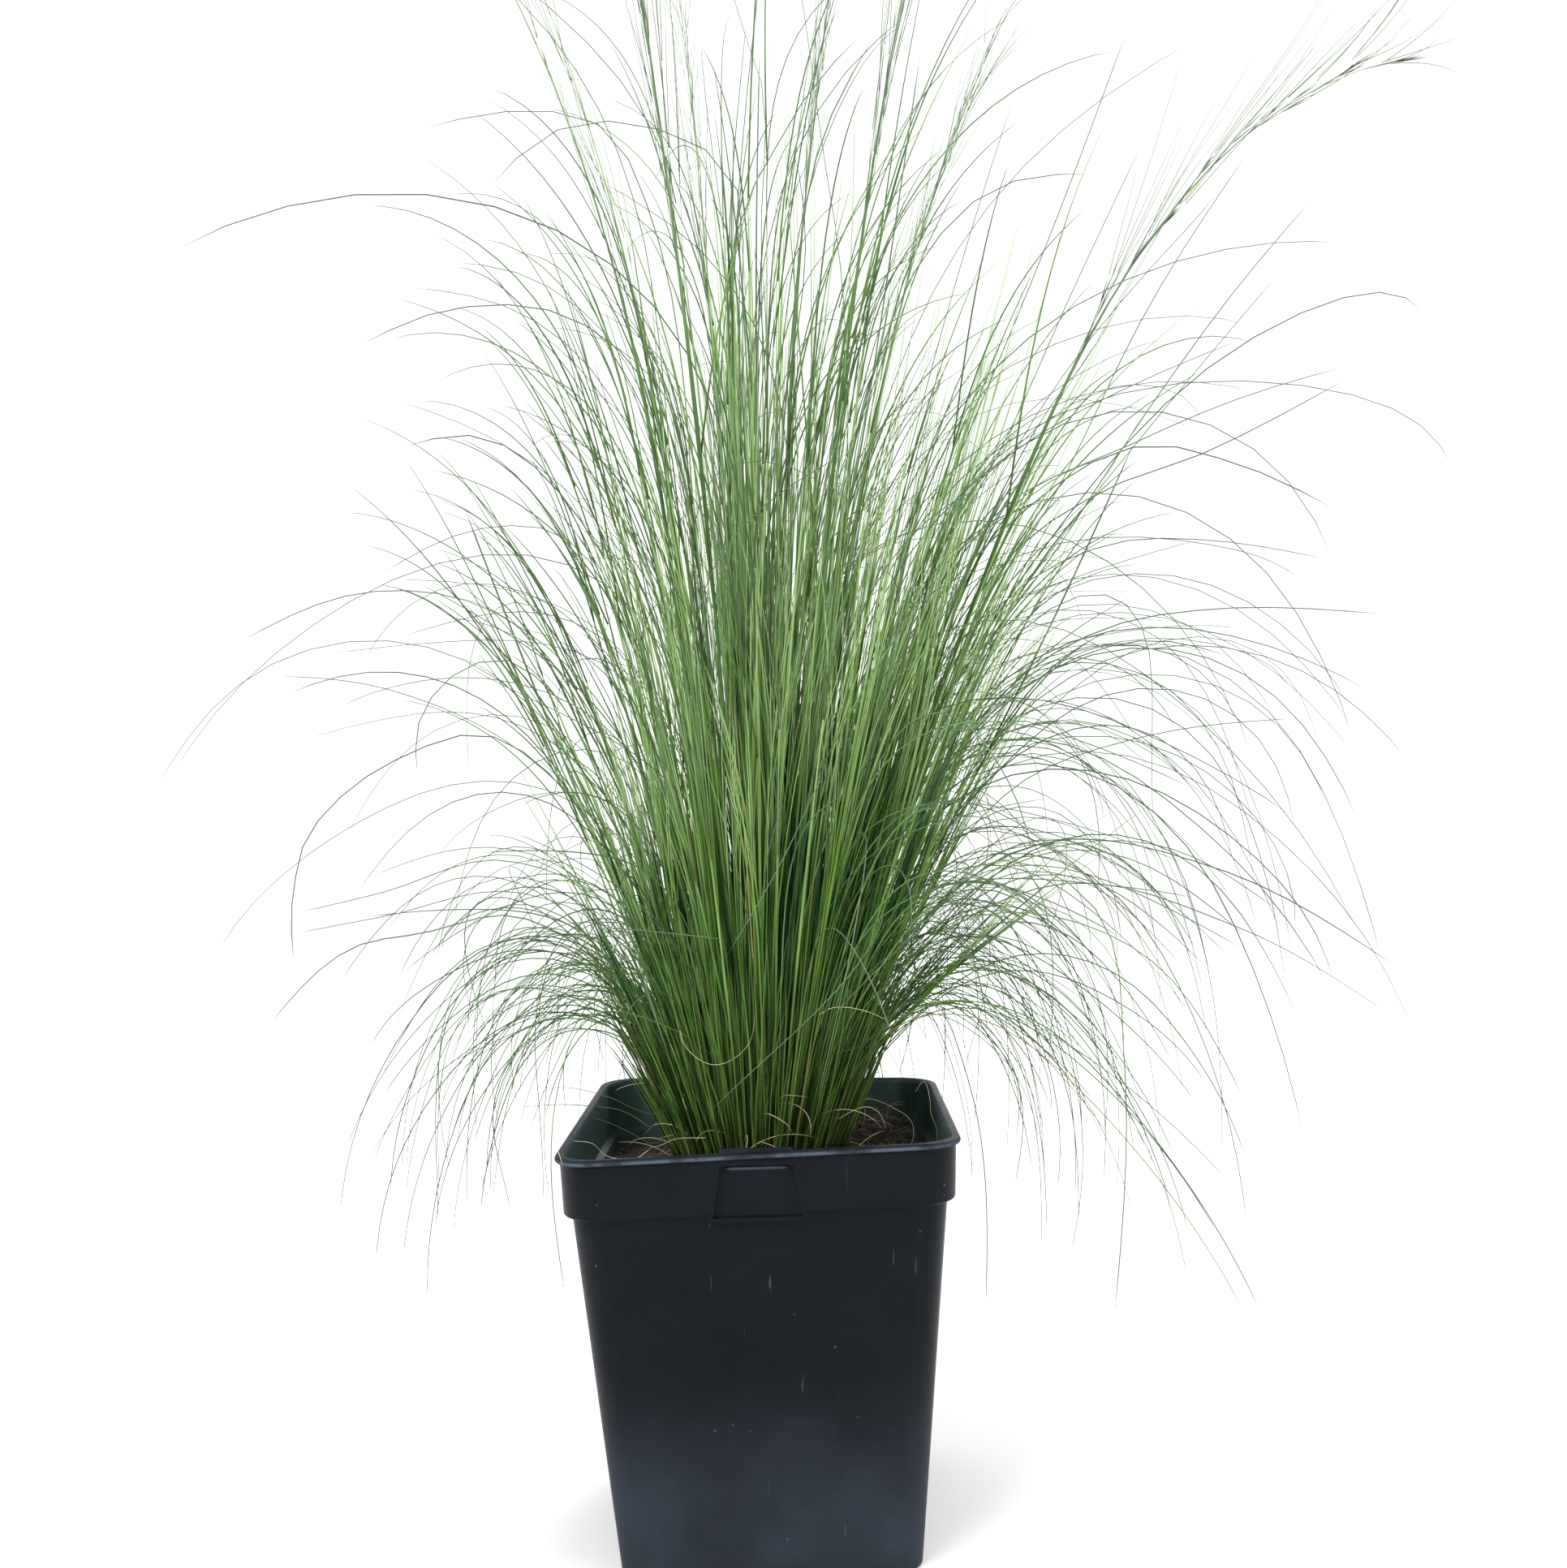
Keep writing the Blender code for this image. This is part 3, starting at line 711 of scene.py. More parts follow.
# %% [markdown]
# The cutters below are simple blocks. Each is shaped at its place, used once by a Boolean, and
# removed after the modifiers have been turned into the pot's own mesh.

# %% Cut the recess, the slot, the drain arches and the drain holes
def block_between(name, low, high):
    """A box between two corners."""
    bm = bmesh.new()
    bmesh.ops.create_cube(bm, size=1.0)
    bmesh.ops.scale(bm, vec=Vector(high) - Vector(low), verts=bm.verts)
    bmesh.ops.translate(bm, vec=(Vector(low) + Vector(high)) / 2, verts=bm.verts)
    return object_from(bm, name)


def recess_block(name, near_y, far_y, grow=0.0):
    """The label recess's outline, wider at its foot, between two depths."""
    bm = bmesh.new()
    bmesh.ops.create_cube(bm, size=1.0)
    for vert in bm.verts:
        is_top = vert.co.z > 0
        vert.co.x *= (RECESS_TOP_WIDTH if is_top else RECESS_FOOT_WIDTH) + 2 * grow
        vert.co.y = near_y if vert.co.y < 0 else far_y
        vert.co.z = POT_HEIGHT - RECESS_TOP_DROP + grow if is_top else COLLAR_FOOT_Z - 0.001 - grow
    return object_from(bm, name)


def arch_block(name, quarter_turns):
    """A bar with a round top that cuts the drain arch in one foot edge."""
    bm = bmesh.new()
    bmesh.ops.create_cone(
        bm, cap_ends=True, segments=32, radius1=ARCH_WIDTH / 2, radius2=ARCH_WIDTH / 2,
        depth=ARCH_DEPTH + 2 * CUT_BEYOND,
    )
    bmesh.ops.rotate(bm, matrix=Matrix.Rotation(pi / 2, 3, "X"), verts=bm.verts)
    bmesh.ops.scale(bm, vec=(1.0, 1.0, ARCH_HEIGHT / (ARCH_WIDTH / 2)), verts=bm.verts)
    middle_y = -FOOT_WIDTH / 2 + ARCH_DEPTH / 2 - CUT_BEYOND
    bmesh.ops.translate(bm, vec=(0.0, middle_y, -0.0006), verts=bm.verts)
    turn = Matrix.Rotation(quarter_turns * pi / 2, 3, "Z")
    bmesh.ops.rotate(bm, matrix=turn, verts=bm.verts)
    return object_from(bm, name)


def drain_block(name, x, y):
    """A round drain hole through the floor."""
    bm = bmesh.new()
    bmesh.ops.create_cone(
        bm, cap_ends=True, segments=32, radius1=DRAIN_RADIUS, radius2=DRAIN_RADIUS, depth=3 * FLOOR)
    bmesh.ops.translate(bm, vec=(x, y, FLOOR / 2), verts=bm.verts)
    return object_from(bm, name)


def apply_modifiers(item):
    """Turn an object's modifiers into its own mesh."""
    shaped = item.evaluated_get(bpy.context.evaluated_depsgraph_get())
    mesh = bpy.data.meshes.new_from_object(shaped)
    item.modifiers.clear()
    item.data = mesh


def carve(item, changes):
    """Apply Booleans to a piece. Changes: (operation, block)."""
    for operation, block in changes:
        modifier = item.modifiers.new(block.name, "BOOLEAN")
        modifier.operation = operation
        modifier.object = block
    apply_modifiers(item)
    for _, block in changes:
        bpy.data.objects.remove(block, do_unlink=True)


body_face = BODY_TOP_WIDTH / 2
collar_inner = RIM_WIDTH / 2 - LIP_OVERHANG - WALL
recess_face = -body_face - RECESS_STEP
slot_top = POT_HEIGHT - RECESS_TOP_DROP - 0.0004
pot_changes = [
    ("UNION", recess_block(
        "recess_backing", -collar_inner - WALL / 2, recess_face + 1.4 * WALL, WALL)),
    ("UNION", block_between(
        "lip_tab",
        (-RECESS_TOP_WIDTH / 2, -collar_inner - 0.75 * WALL, POT_HEIGHT - LIP_THICKNESS / 2),
        (RECESS_TOP_WIDTH / 2, 0.25 * WALL - collar_inner, POT_HEIGHT + TAB_HEIGHT))),
    ("DIFFERENCE", recess_block("recess", -RIM_WIDTH / 2 - 0.004, recess_face)),
    ("DIFFERENCE", block_between(
        "label_slot",
        (-SLOT_WIDTH / 2, -RIM_WIDTH / 2, slot_top - SLOT_HEIGHT),
        (SLOT_WIDTH / 2, -body_face + 3 * WALL, slot_top))),
]
pot_changes += [("DIFFERENCE", arch_block(f"arch_{side}", side)) for side in range(4)]
for drain_x in (-DRAIN_PLACE, DRAIN_PLACE):
    for drain_y in (-DRAIN_PLACE, DRAIN_PLACE):
        pot_changes.append(("DIFFERENCE", drain_block("drain", drain_x, drain_y)))
carve(pot, pot_changes)
print("carved pot:", len(pot.data.polygons), "faces")

# %% [markdown]
# Booleans leave edges as sharp as a knife's, which no moulding has. A narrow bevel on the sharp
# edges catches the light as the real edges do.

# %% Soften the pot's cut edges
bevel = pot.modifiers.new("soft_edges", "BEVEL")
bevel.width = SOFT_EDGE
bevel.segments = 2
bevel.limit_method = "ANGLE"
bevel.angle_limit = radians(50)
apply_modifiers(pot)
pot.data.shade_smooth()
pot.data.set_sharp_from_angle(angle=radians(35))
print("softened pot:", len(pot.data.polygons), "faces")

# %% [markdown]
# ## Dusty black plastic
#
# The pot is recycled polypropylene: black with a bluish cast, half glossy, and never clean. Water
# and handling leave a pale film in patches, small pale specks, and fine upright scratches from
# pulling pots apart. The film is made thicker low down as a painted reflection of the pale floor.
# A pale line along the lip's outer edge is a painted highlight as well as wear, and a pale line
# along the label slot's lower edge is a painted highlight. All of them are masks that lighten the
# colour and roughen the shine. A broad, weak bump stands for the moulding's waviness, which is
# what breaks up reflections on thin plastic.

# %% The grime and highlight group and the plastic
# Where the pale lines start and end, in metres: the lip's painted highlight and wear above the
# rim, the slot's painted highlight above the slot's foot.
LIP_HIGHLIGHT_AND_WEAR_START = (-0.0026, -0.0019)
LIP_HIGHLIGHT_AND_WEAR_END = (-0.0014, -0.0007)
SLOT_HIGHLIGHT_START = (-0.0012, -0.0006)
SLOT_HIGHLIGHT_END = (0.0001, 0.0004)
SLOT_HIGHLIGHT_STRENGTH = 0.6
FRONT_Y = (-0.070, -0.060)
grime_and_highlights, given, grime_and_highlights_out = new_group(
    "grime_and_highlights",
    [
        ("Plastic", "NodeSocketColor", linear(7, 10, 14)),
        ("Dust and highlight", "NodeSocketColor", linear(90, 101, 116)),
        ("Film and reflection", "NodeSocketFloat", 0.24),
        ("Specks", "NodeSocketFloat", 0.5),
        ("Scratches", "NodeSocketFloat", 0.3),
        ("Lip highlight and wear", "NodeSocketFloat", 0.60),
    ],
    [
        ("Colour", "NodeSocketColor"), ("Roughness", "NodeSocketFloat"),
        ("Height", "NodeSocketFloat"),
    ],
)
place_on_pot = place_on_object(grime_and_highlights)
x_on_pot, y_on_pot, height_on_pot = parts_of(grime_and_highlights, place_on_pot)


def grime_noise(scale, detail, stretch=(1.0, 1.0, 1.0)):
    """Noise on the pot, as an output. Scale is in lumps per metre."""
    mapped = place(grime_and_highlights, "ShaderNodeMapping", {"Vector": place_on_pot, "Scale": stretch})
    return noise_of(grime_and_highlights, mapped.outputs[0], scale, detail, 0.6)


def pale_band(height, zero, start, end, beyond=0.0):
    """A mask that is 1 between a start and an end above a zero height, as an output."""
    rising = ease(grime_and_highlights, height, zero + start[0], zero + start[1])
    return times(grime_and_highlights, rising, ease(grime_and_highlights, height, zero + end[0], zero + end[1], 1.0, beyond))


# The film's rise towards the foot is a painted reflection of the pale floor; its patches are dust.
painted_reflection_low_down = ease(grime_and_highlights, height_on_pot, 0.01, 0.09, 1.0, 0.12)
patches = ease(grime_and_highlights, grime_noise(26.0, 5.0), 0.3, 0.75, 0.55, 1.0)
film_and_reflection = times(grime_and_highlights, painted_reflection_low_down, patches, given["Film and reflection"])
speck_cells = place(
    grime_and_highlights, "ShaderNodeTexVoronoi", {"Vector": place_on_pot, "Scale": 170.0, "Randomness": 1.0})
specks = ease(grime_and_highlights, speck_cells.outputs["Distance"], 0.05, 0.11, 1.0, 0.0)
speck_choice = ease(grime_and_highlights, grime_noise(60.0, 2.0), 0.58, 0.66)
specks = times(grime_and_highlights, specks, speck_choice, given["Specks"])
scratch_lines = ease(grime_and_highlights, grime_noise(420.0, 2.0, (1.0, 1.0, 0.03)), 0.69, 0.75)
scratch_patches = ease(grime_and_highlights, grime_noise(18.0, 2.0), 0.5, 0.62)
scratches = times(grime_and_highlights, scratch_lines, scratch_patches, given["Scratches"])
twist = times(grime_and_highlights, x_on_pot, y_on_pot, RIM_TWIST / (RIM_WIDTH / 2) ** 2)
level_height = combine(grime_and_highlights, "ADD", [height_on_pot, twist])
# A thin, broken pale line along the lip's outer edge: a painted highlight, and also wear.
lip_highlight_edge = pale_band(level_height, POT_HEIGHT, LIP_HIGHLIGHT_AND_WEAR_START, LIP_HIGHLIGHT_AND_WEAR_END, 0.12)
highlight_and_wear_patches = ease(grime_and_highlights, grime_noise(70.0, 4.0), 0.40, 0.60, 0.25, 1.0)
lip_highlight_and_wear = times(grime_and_highlights, lip_highlight_edge, highlight_and_wear_patches, given["Lip highlight and wear"])
# A pale line along the label slot's lower edge, on the front only: a painted highlight.
slot_highlight_edge = pale_band(height_on_pot, slot_top - SLOT_HEIGHT, SLOT_HIGHLIGHT_START, SLOT_HIGHLIGHT_END)
from_middle = place(grime_and_highlights, "ShaderNodeMath", {0: x_on_pot}, operation="ABSOLUTE").outputs[0]
in_slot = ease(grime_and_highlights, from_middle, SLOT_WIDTH / 2 - 0.003, SLOT_WIDTH / 2, 1.0, 0.0)
on_front = ease(grime_and_highlights, y_on_pot, *FRONT_Y, 1.0, 0.0)
painted_slot_highlight = times(grime_and_highlights, slot_highlight_edge, in_slot, on_front, SLOT_HIGHLIGHT_STRENGTH)
# All pale masks together: dust, specks and scratches, with painted highlights and a painted
# reflection.
dirt_and_highlights = plus(grime_and_highlights, film_and_reflection, specks, scratches, lip_highlight_and_wear, painted_slot_highlight)
moulded = ease(grime_and_highlights, grime_noise(900.0, 2.0), 0.3, 0.7, 0.30, 0.40)
grain = times(grime_and_highlights, grime_noise(1500.0, 2.0), 0.02)
fill(grime_and_highlights, grime_and_highlights_out, {
    "Colour": mix_colour(grime_and_highlights, dirt_and_highlights, given["Plastic"], given["Dust and highlight"]),
    "Roughness": plus(grime_and_highlights, moulded, dirt_and_highlights),
    "Height": plus(grime_and_highlights, grime_noise(20.0, 1.0), grain),
})


def pot_material(name, specular, changes):
    """Dusty plastic with painted highlights, with its own values for the grime and highlight group.
    """
    material, tree, shader = new_material(name)
    grimed_and_highlit = place(tree, "ShaderNodeGroup", changes, node_tree=grime_and_highlights).outputs
    fill(tree, shader, {
        "Base Color": grimed_and_highlit["Colour"], "Roughness": grimed_and_highlit["Roughness"],
        "Normal": bump_of(tree, grimed_and_highlit["Height"], 0.5, 0.0012), "Specular IOR Level": specular,
    })
    return material


black_plastic = pot_material("black_plastic", 0.08, {})
inner_plastic = pot_material("inner_plastic", 0.12, {"Plastic": linear(46, 64, 62), "Film and reflection": 0.5})
pot.data.materials.clear()
pot.data.materials.append(black_plastic)
pot.data.materials.append(inner_plastic)
for face in pot.data.polygons:
    faces_inward = face.normal.x * face.center.x + face.normal.y * face.center.y < -0.01
    face.material_index = 1 if faces_inward and face.center.z > FLOOR else 0
add_piece(pot, "pot_plastic", "pot")
print("the pot's grime group has", len(grime_and_highlights.nodes), "nodes")

# %% [markdown]
# ## The soil
#
# Peaty potting mix fills the pot to about 28 mm below its rim and rises a little to the crown. It
# is a lumpy, fibrous surface with loose crumbs. A grid pushed up and down by noise gives the lumps,
# its edge is extruded down to close the bed, and a thousand crumbs lie on top.

# %% The soil bed
SOIL_EDGE_Z = 0.1440
SOIL_GAP = 0.0005
CROWN_FOOT_RADIUS = 0.0385
MOUND_WIDTH = 0.035
SOIL_SINK = 0.0004
COARSE_LUMPS = (0.0016, 90)  # height in metres, and lumps per metre
FINE_LUMPS = (0.0012, 260)
GRAINS = (0.0007, 700)
SOIL_CELLS = 90
soil_low, soil_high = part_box("soil")
soil_half = (soil_high.x - soil_low.x) / 2
soil_foot_half = FOOT_WIDTH / 2 - WALL - SOIL_GAP
soil_corner = CORNER_RADIUS - WALL


def inside_corner(x, y, half, radius):
    """A place of a square moved into the same square with rounded corners."""
    over_x = abs(x) - (half - radius)
    over_y = abs(y) - (half - radius)
    if over_x <= 0 or over_y <= 0:
        return x, y
    shrink = max(over_x, over_y) / (over_x ** 2 + over_y ** 2) ** 0.5
    new_x = half - radius + over_x * shrink
    new_y = half - radius + over_y * shrink
    return (new_x if x > 0 else -new_x), (new_y if y > 0 else -new_y)


def soil_height(x, y):
    """The soil's height: a low mound round the crown, with lumps of several sizes."""
    from_crown = (x * x + y * y) ** 0.5 - CROWN_FOOT_RADIUS
    share = min(max(1.0 - from_crown / MOUND_WIDTH, 0.0), 1.0)
    mound = (SOIL_TOP_Z - SOIL_EDGE_Z) * share * share * (3 - 2 * share)
    spot = Vector((x, y, 0.0))
    coarse, fine, grains = [
        height * noise.noise(spot * scale) for height, scale in (COARSE_LUMPS, FINE_LUMPS, GRAINS)]
    return SOIL_EDGE_Z - SOIL_SINK + mound + (coarse + fine) + grains


def build_soil():
    """A lumpy bed of soil, closed below."""
    bm = bmesh.new()
    bmesh.ops.create_grid(bm, x_segments=SOIL_CELLS, y_segments=SOIL_CELLS, size=soil_half)
    for vert in bm.verts:
        x, y = inside_corner(vert.co.x, vert.co.y, soil_half, soil_corner)
        vert.co = (x, y, soil_height(x, y))
    rim = [edge for edge in bm.edges if edge.is_boundary]
    below = bmesh.ops.extrude_edge_only(bm, edges=rim)["geom"]
    foot = [item for item in below if isinstance(item, bmesh.types.BMVert)]
    for vert in foot:
        share = soil_foot_half / soil_half
        vert.co = (vert.co.x * share, vert.co.y * share, soil_low.z)
    bmesh.ops.holes_fill(bm, edges=[edge for edge in bm.edges if edge.is_boundary])
    bmesh.ops.recalc_face_normals(bm, faces=bm.faces)
    return object_from(bm, "soil_bed")


soil_bed = build_soil()
soil_bed.data.shade_smooth()
print("soil:", len(soil_bed.data.polygons), "faces, top", round(soil_height(0.0, 0.045), 4), "m")

# %% [markdown]
# Wet peat is nearly black, with paler fibres. Its colour and its bumps follow noise of two sizes.
# Crumbs and rootlets take their shade from U in their map, so that each has one of its own.

# %% Earth materials
earth, tree, shader = new_material("earth")
spot = place_on_object(tree)
coarse = ease(tree, noise_of(tree, spot, 110.0, 6.0), 0.35, 0.65)
fine = noise_of(tree, spot, 700.0, 4.0)
peat = mix_colour(tree, coarse, linear(26, 22, 19), linear(54, 44, 35))
fill(tree, shader, {
    "Base Color": mix_colour(tree, ease(tree, fine, 0.60, 0.70), peat, linear(104, 86, 62)),
    "Roughness": ease(tree, fine, 0.3, 0.7, 0.80, 0.98),
    "Normal": bump_of(tree, fine, 0.8, 0.0008),
})
soil_bed.data.materials.append(earth)

crumb_brown, tree, shader = new_material("crumb_brown")
crumb_map = place(tree, "ShaderNodeUVMap", uv_map=LEAF_MAP).outputs[0]
crumb_kind = parts_of(tree, crumb_map)[0]
dark_to_brown = mix_colour(
    tree, ease(tree, crumb_kind, 0.0, 0.7), linear(34, 28, 21), linear(64, 56, 42))
bark_or_straw = ease(tree, crumb_kind, 0.86, 0.95)
crumb_noise = noise_of(tree, place_on_object(tree), 1200.0)
fill(tree, shader, {
    "Base Color": mix_colour(tree, bark_or_straw, dark_to_brown, linear(122, 100, 72)),
    "Roughness": ease(tree, crumb_noise, 0.3, 0.7, 0.75, 0.95),
})
add_piece(soil_bed, "potting_soil", "soil")
print("earth materials:", earth.name, crumb_brown.name)

# %% [markdown]
# Crumbs could be scattered with a particle system. One rough ball, copied, squashed and turned with
# arrays as the strands are, keeps them in one mesh and the same on each run.

# %% Crumbs on the soil
CRUMB_SEED = 21
CRUMBS = 1100
CRUMB_SIZE = (0.0006, 0.0028)
UNDER_CROWN = 0.004  # how far crumbs and rootlets lie in under the crown


def free_soil_places(rng, count, margin=0.002):
    """Random places on the soil between the crown's foot and the pot's wall."""
    places = []
    limit = soil_half - margin
    while len(places) < count:
        x, y = rng.uniform(-limit, limit, 2)
        beside_crown = (x * x + y * y) ** 0.5 > CROWN_FOOT_RADIUS - UNDER_CROWN
        if beside_crown and inside_corner(x, y, limit, soil_corner) == (x, y):
            places.append((x, y, soil_height(x, y)))
    return np.array(places)


def build_crumbs():
    """Lumps of peat and bark: one rough ball, squashed and turned differently each time."""
    bm = bmesh.new()
    bmesh.ops.create_icosphere(bm, subdivisions=1, radius=1.0)
    for vert in bm.verts:
        vert.co *= 1.0 + 0.45 * noise.noise(vert.co * 1.7)
    bm.verts.index_update()
    ball = np.array([tuple(vert.co) for vert in bm.verts])
    loops = np.array([vert.index for face in bm.faces for vert in face.verts])
    sizes = np.array([len(face.verts) for face in bm.faces])
    bm.free()
    rng = np.random.default_rng(CRUMB_SEED)
    places = free_soil_places(rng, CRUMBS)
    size = CRUMB_SIZE[0] + (CRUMB_SIZE[1] - CRUMB_SIZE[0]) * rng.random(CRUMBS) ** 3
    stretch = np.stack(
        [np.ones(CRUMBS), rng.uniform(0.35, 1.0, CRUMBS), rng.uniform(0.3, 0.8, CRUMBS)], axis=1)
    turns = np.array([
        Matrix.Rotation(turn, 3, "Z") @ Matrix.Rotation(tilt, 3, "X")
        for turn, tilt in zip(rng.uniform(0, 2 * pi, CRUMBS), rng.normal(0, 0.5, CRUMBS))
    ])
    shapes = ball[None] * (stretch * size[:, None])[:, None, :]
    verts = np.einsum("nij,nkj->nki", turns, shapes) + places[:, None, :]
    verts[:, :, 2] += (size * 0.25)[:, None]
    kinds = rng.random(CRUMBS)
    spots = np.stack([
        np.repeat(kinds, len(loops)) + np.tile(np.linspace(0, U_ROUND_STRAND, len(loops)), CRUMBS),
        np.tile(np.linspace(0.1, 0.9, len(loops)), CRUMBS)], axis=1)
    first = (np.arange(CRUMBS) * len(ball))[:, None]
    part = {
        "verts": verts.reshape(-1, 3), "loops": (first + loops[None]).ravel(),
        "sizes": np.tile(sizes, CRUMBS), "spots": spots,
    }
    return join_strands("soil_crumbs", [part], [crumb_brown])


crumbs = add_piece(build_crumbs(), "potting_soil")
print("crumbs:", len(crumbs.data.polygons), "faces")

# %% [markdown]
# ## The crown
#
# Where the leaves leave the soil they are packed side by side in brownish sheaths, old ones dead
# and split. Short stout strands stand for them. They follow the flare of the crown's solid, and
# fill the gaps between the leaves' feet, so that no light shows through the clump there.

# %% Sheaths and stubs of the crown
CROWN_SEED = 31
CROWN_SHEATHS = 1750
CROWN_MASTER = make_master(3, 6)
CROWN_SPREAD = 0.0335
CROWN_LEAN = 21.0  # of the outermost sheaths
CROWN_OPENING = 8.0
CROWN_LENGTH = (0.030, 0.130)
CROWN_HALF_WIDTH = (0.00028, 0.00052)
CROWN_NARROWING = (0.3, 2.2)
CROWN_KINDS = (0.05, 0.9)
CROWN_DEAD_SHARE = 0.035


def build_crown():
    """Stout leaf bases that stand on the soil and flare with the crown."""
    rng = np.random.default_rng(CROWN_SEED)
    count = CROWN_SHEATHS
    turn = rng.uniform(0, 360, count)
    share = np.sqrt(rng.random(count))
    starts = level_directions(turn) * (share * CROWN_SPREAD)[:, None] + CROWN_SHIFT
    starts[:, 2] = FOOT_Z
    leans = CROWN_LEAN * share + rng.normal(0, 3.0, count)
    tips = leans + CROWN_OPENING * share + rng.normal(0, 5.0, count)
    shortest, longest = CROWN_LENGTH
    lengths = shortest + (longest - shortest) * rng.random(count) ** 1.4
    points = bend_paths(
        starts, turn, leans, tips, np.full(count, 1.5), lengths, CROWN_MASTER["rings"],
        rng.normal(0, 12, count))
    widths = taper(between(rng, CROWN_HALF_WIDTH, count), CROWN_MASTER["rings"], *CROWN_NARROWING)
    kinds = with_dead(rng, between(rng, CROWN_KINDS, count), CROWN_DEAD_SHARE)
    part = lay_strands(CROWN_MASTER, points, widths, kinds, any_turn(rng, count))
    return join_strands("crown_sheaths", [part], [crown_green])


crown = add_piece(build_crown(), "crown_green", "crown")
print("crown:", len(crown.data.polygons), "faces")

# %% [markdown]
# ## The tufts of leaves
#
# Each tuft holds three kinds of strands: erect leaves, arching leaves and shoots. All of them start
# at seats on the crown, and are lengthened down through it to feet in the soil. Leaves that reach
# far out or up hang more than a single bend says, so their far ends are drawn in.

# %% Seats, feet and drawn ends
LEAF_RINGS = LEAF_MASTER["rings"]
ARCH_RINGS = ARCH_MASTER["rings"]
SHEATH_RINGS = SHEATH_MASTER["rings"]
CROWN_RINGS = 3
HEART_SEAT_RADIUS = 0.0117
HEART_SEAT_TURN = (-60, 60)
SEAT_SCATTER = (-0.0056, 0.0054)
FULLER_HEADING = 5.0
REACH_FROM = 0.200
REACH_MORE = 0.100
TALL_FROM = 0.700
TALL_MORE = 0.080


def towards(heading, favoured):
    """How much a heading faces a favoured one, from -1 to 1."""
    return cos(radians(heading - favoured))


def in_front(heading):
    """How much a heading faces the viewer, from 0 to 1."""
    return max(0.0, towards(heading, 270.0)) ** 2


def draw_in(points):
    """Points whose far ends are drawn in, because leaves that reach far out or up hang more."""
    drawn = points.copy()
    away = np.linalg.norm(points[:, :, :2], axis=2)
    over = (away - REACH_FROM).clip(0.0)
    new_away = away - over + REACH_MORE * np.tanh(over / REACH_MORE)
    drawn[:, :, :2] *= (new_away / away.clip(1e-6))[:, :, None]
    over = (points[:, :, 2] - TALL_FROM).clip(0.0)
    drawn[:, :, 2] += TALL_MORE * np.tanh(over / TALL_MORE) - over
    return drawn


def add_foot(paths, feet):
    """Paths from the seats, lengthened down through the crown to their feet in the soil."""
    shares = np.linspace(0.0, 1.0, CROWN_RINGS, endpoint=False)[None, :, None]
    below = feet[:, None] + (paths[:, :1] - feet[:, None]) * shares
    return np.concatenate([below, paths], axis=1)


def tuft_starts(ring, heading, own_headings, rng):
    """Seats on the crown and feet in the soil for a tuft's strands."""
    count = len(own_headings)
    if ring is HEART:
        turn = heading + between(rng, HEART_SEAT_TURN, count)
        radius = HEART_SEAT_RADIUS * np.sqrt(rng.random(count))
    else:
        turn = heading + 0.7 * (own_headings - heading) + rng.normal(0, ring["step"] / 5, count)
        radius = ring["radius"] + between(rng, SEAT_SCATTER, count)
    seats = level_directions(turn) * radius[:, None]
    feet = seats * CROWN_TAPER + CROWN_SHIFT
    seats[:, 2] = SEAT_Z
    feet[:, 2] = FOOT_Z
    return seats, feet


print("seats", round(SEAT_Z - FOOT_Z, 4), "m above the feet")

# %% [markdown]
# Erect leaves make the dense green column. Scattered one by one they would look like a brush. In the
# photo they stand in tillers, which makes the clump look streaky. So each tiller gets eight leaves
# that rise from one place, share one way of bending and one shade, and taper to a point together.

# %% Erect leaves
SHORTEST = 0.50
TILLER_LEAVES = 8
TILLER_WIDTH = 0.16  # how far apart a tiller's leaves stand, as a share of the tuft's own spread
TALL_POWER = 1.9  # higher values make more of the tillers short
LEAF_OF_TILLER = (0.56, 1.0)  # a leaf's length as a share of its tiller's
TILLER_LEAN_SCATTER = 3.0
LEAF_LEAN_SCATTER = 0.8
LEAF_HEADING_SCATTER = 4
MORE_LEAN = 0.36  # how much further the tufts at the fuller side lean
TILLER_OPENING = (0.1, 2.2)
TILLER_BEND = (1.2, 2.4)
TILLER_DRIFT = 30
LEAF_DRIFT = 6
TILLER_KIND_SCATTER = 0.20
LEAF_KIND_SCATTER = 0.24
DEAD_ERECT_KIND = 0.97
ERECT_HALF_WIDTH = (0.00027, 0.00050)
ERECT_NARROWING = (0.25, 2.4)


def of_tiller(values, count):
    """One value per tiller, given to each of the tiller's leaves."""
    return np.repeat(values, TILLER_LEAVES, axis=0)[:count]


def draw_together(points):
    """Points of a tiller's leaves, drawn close to the point of its first leaf."""
    first = of_tiller(points[::TILLER_LEAVES], len(points))
    return first + TILLER_WIDTH * (points - first)


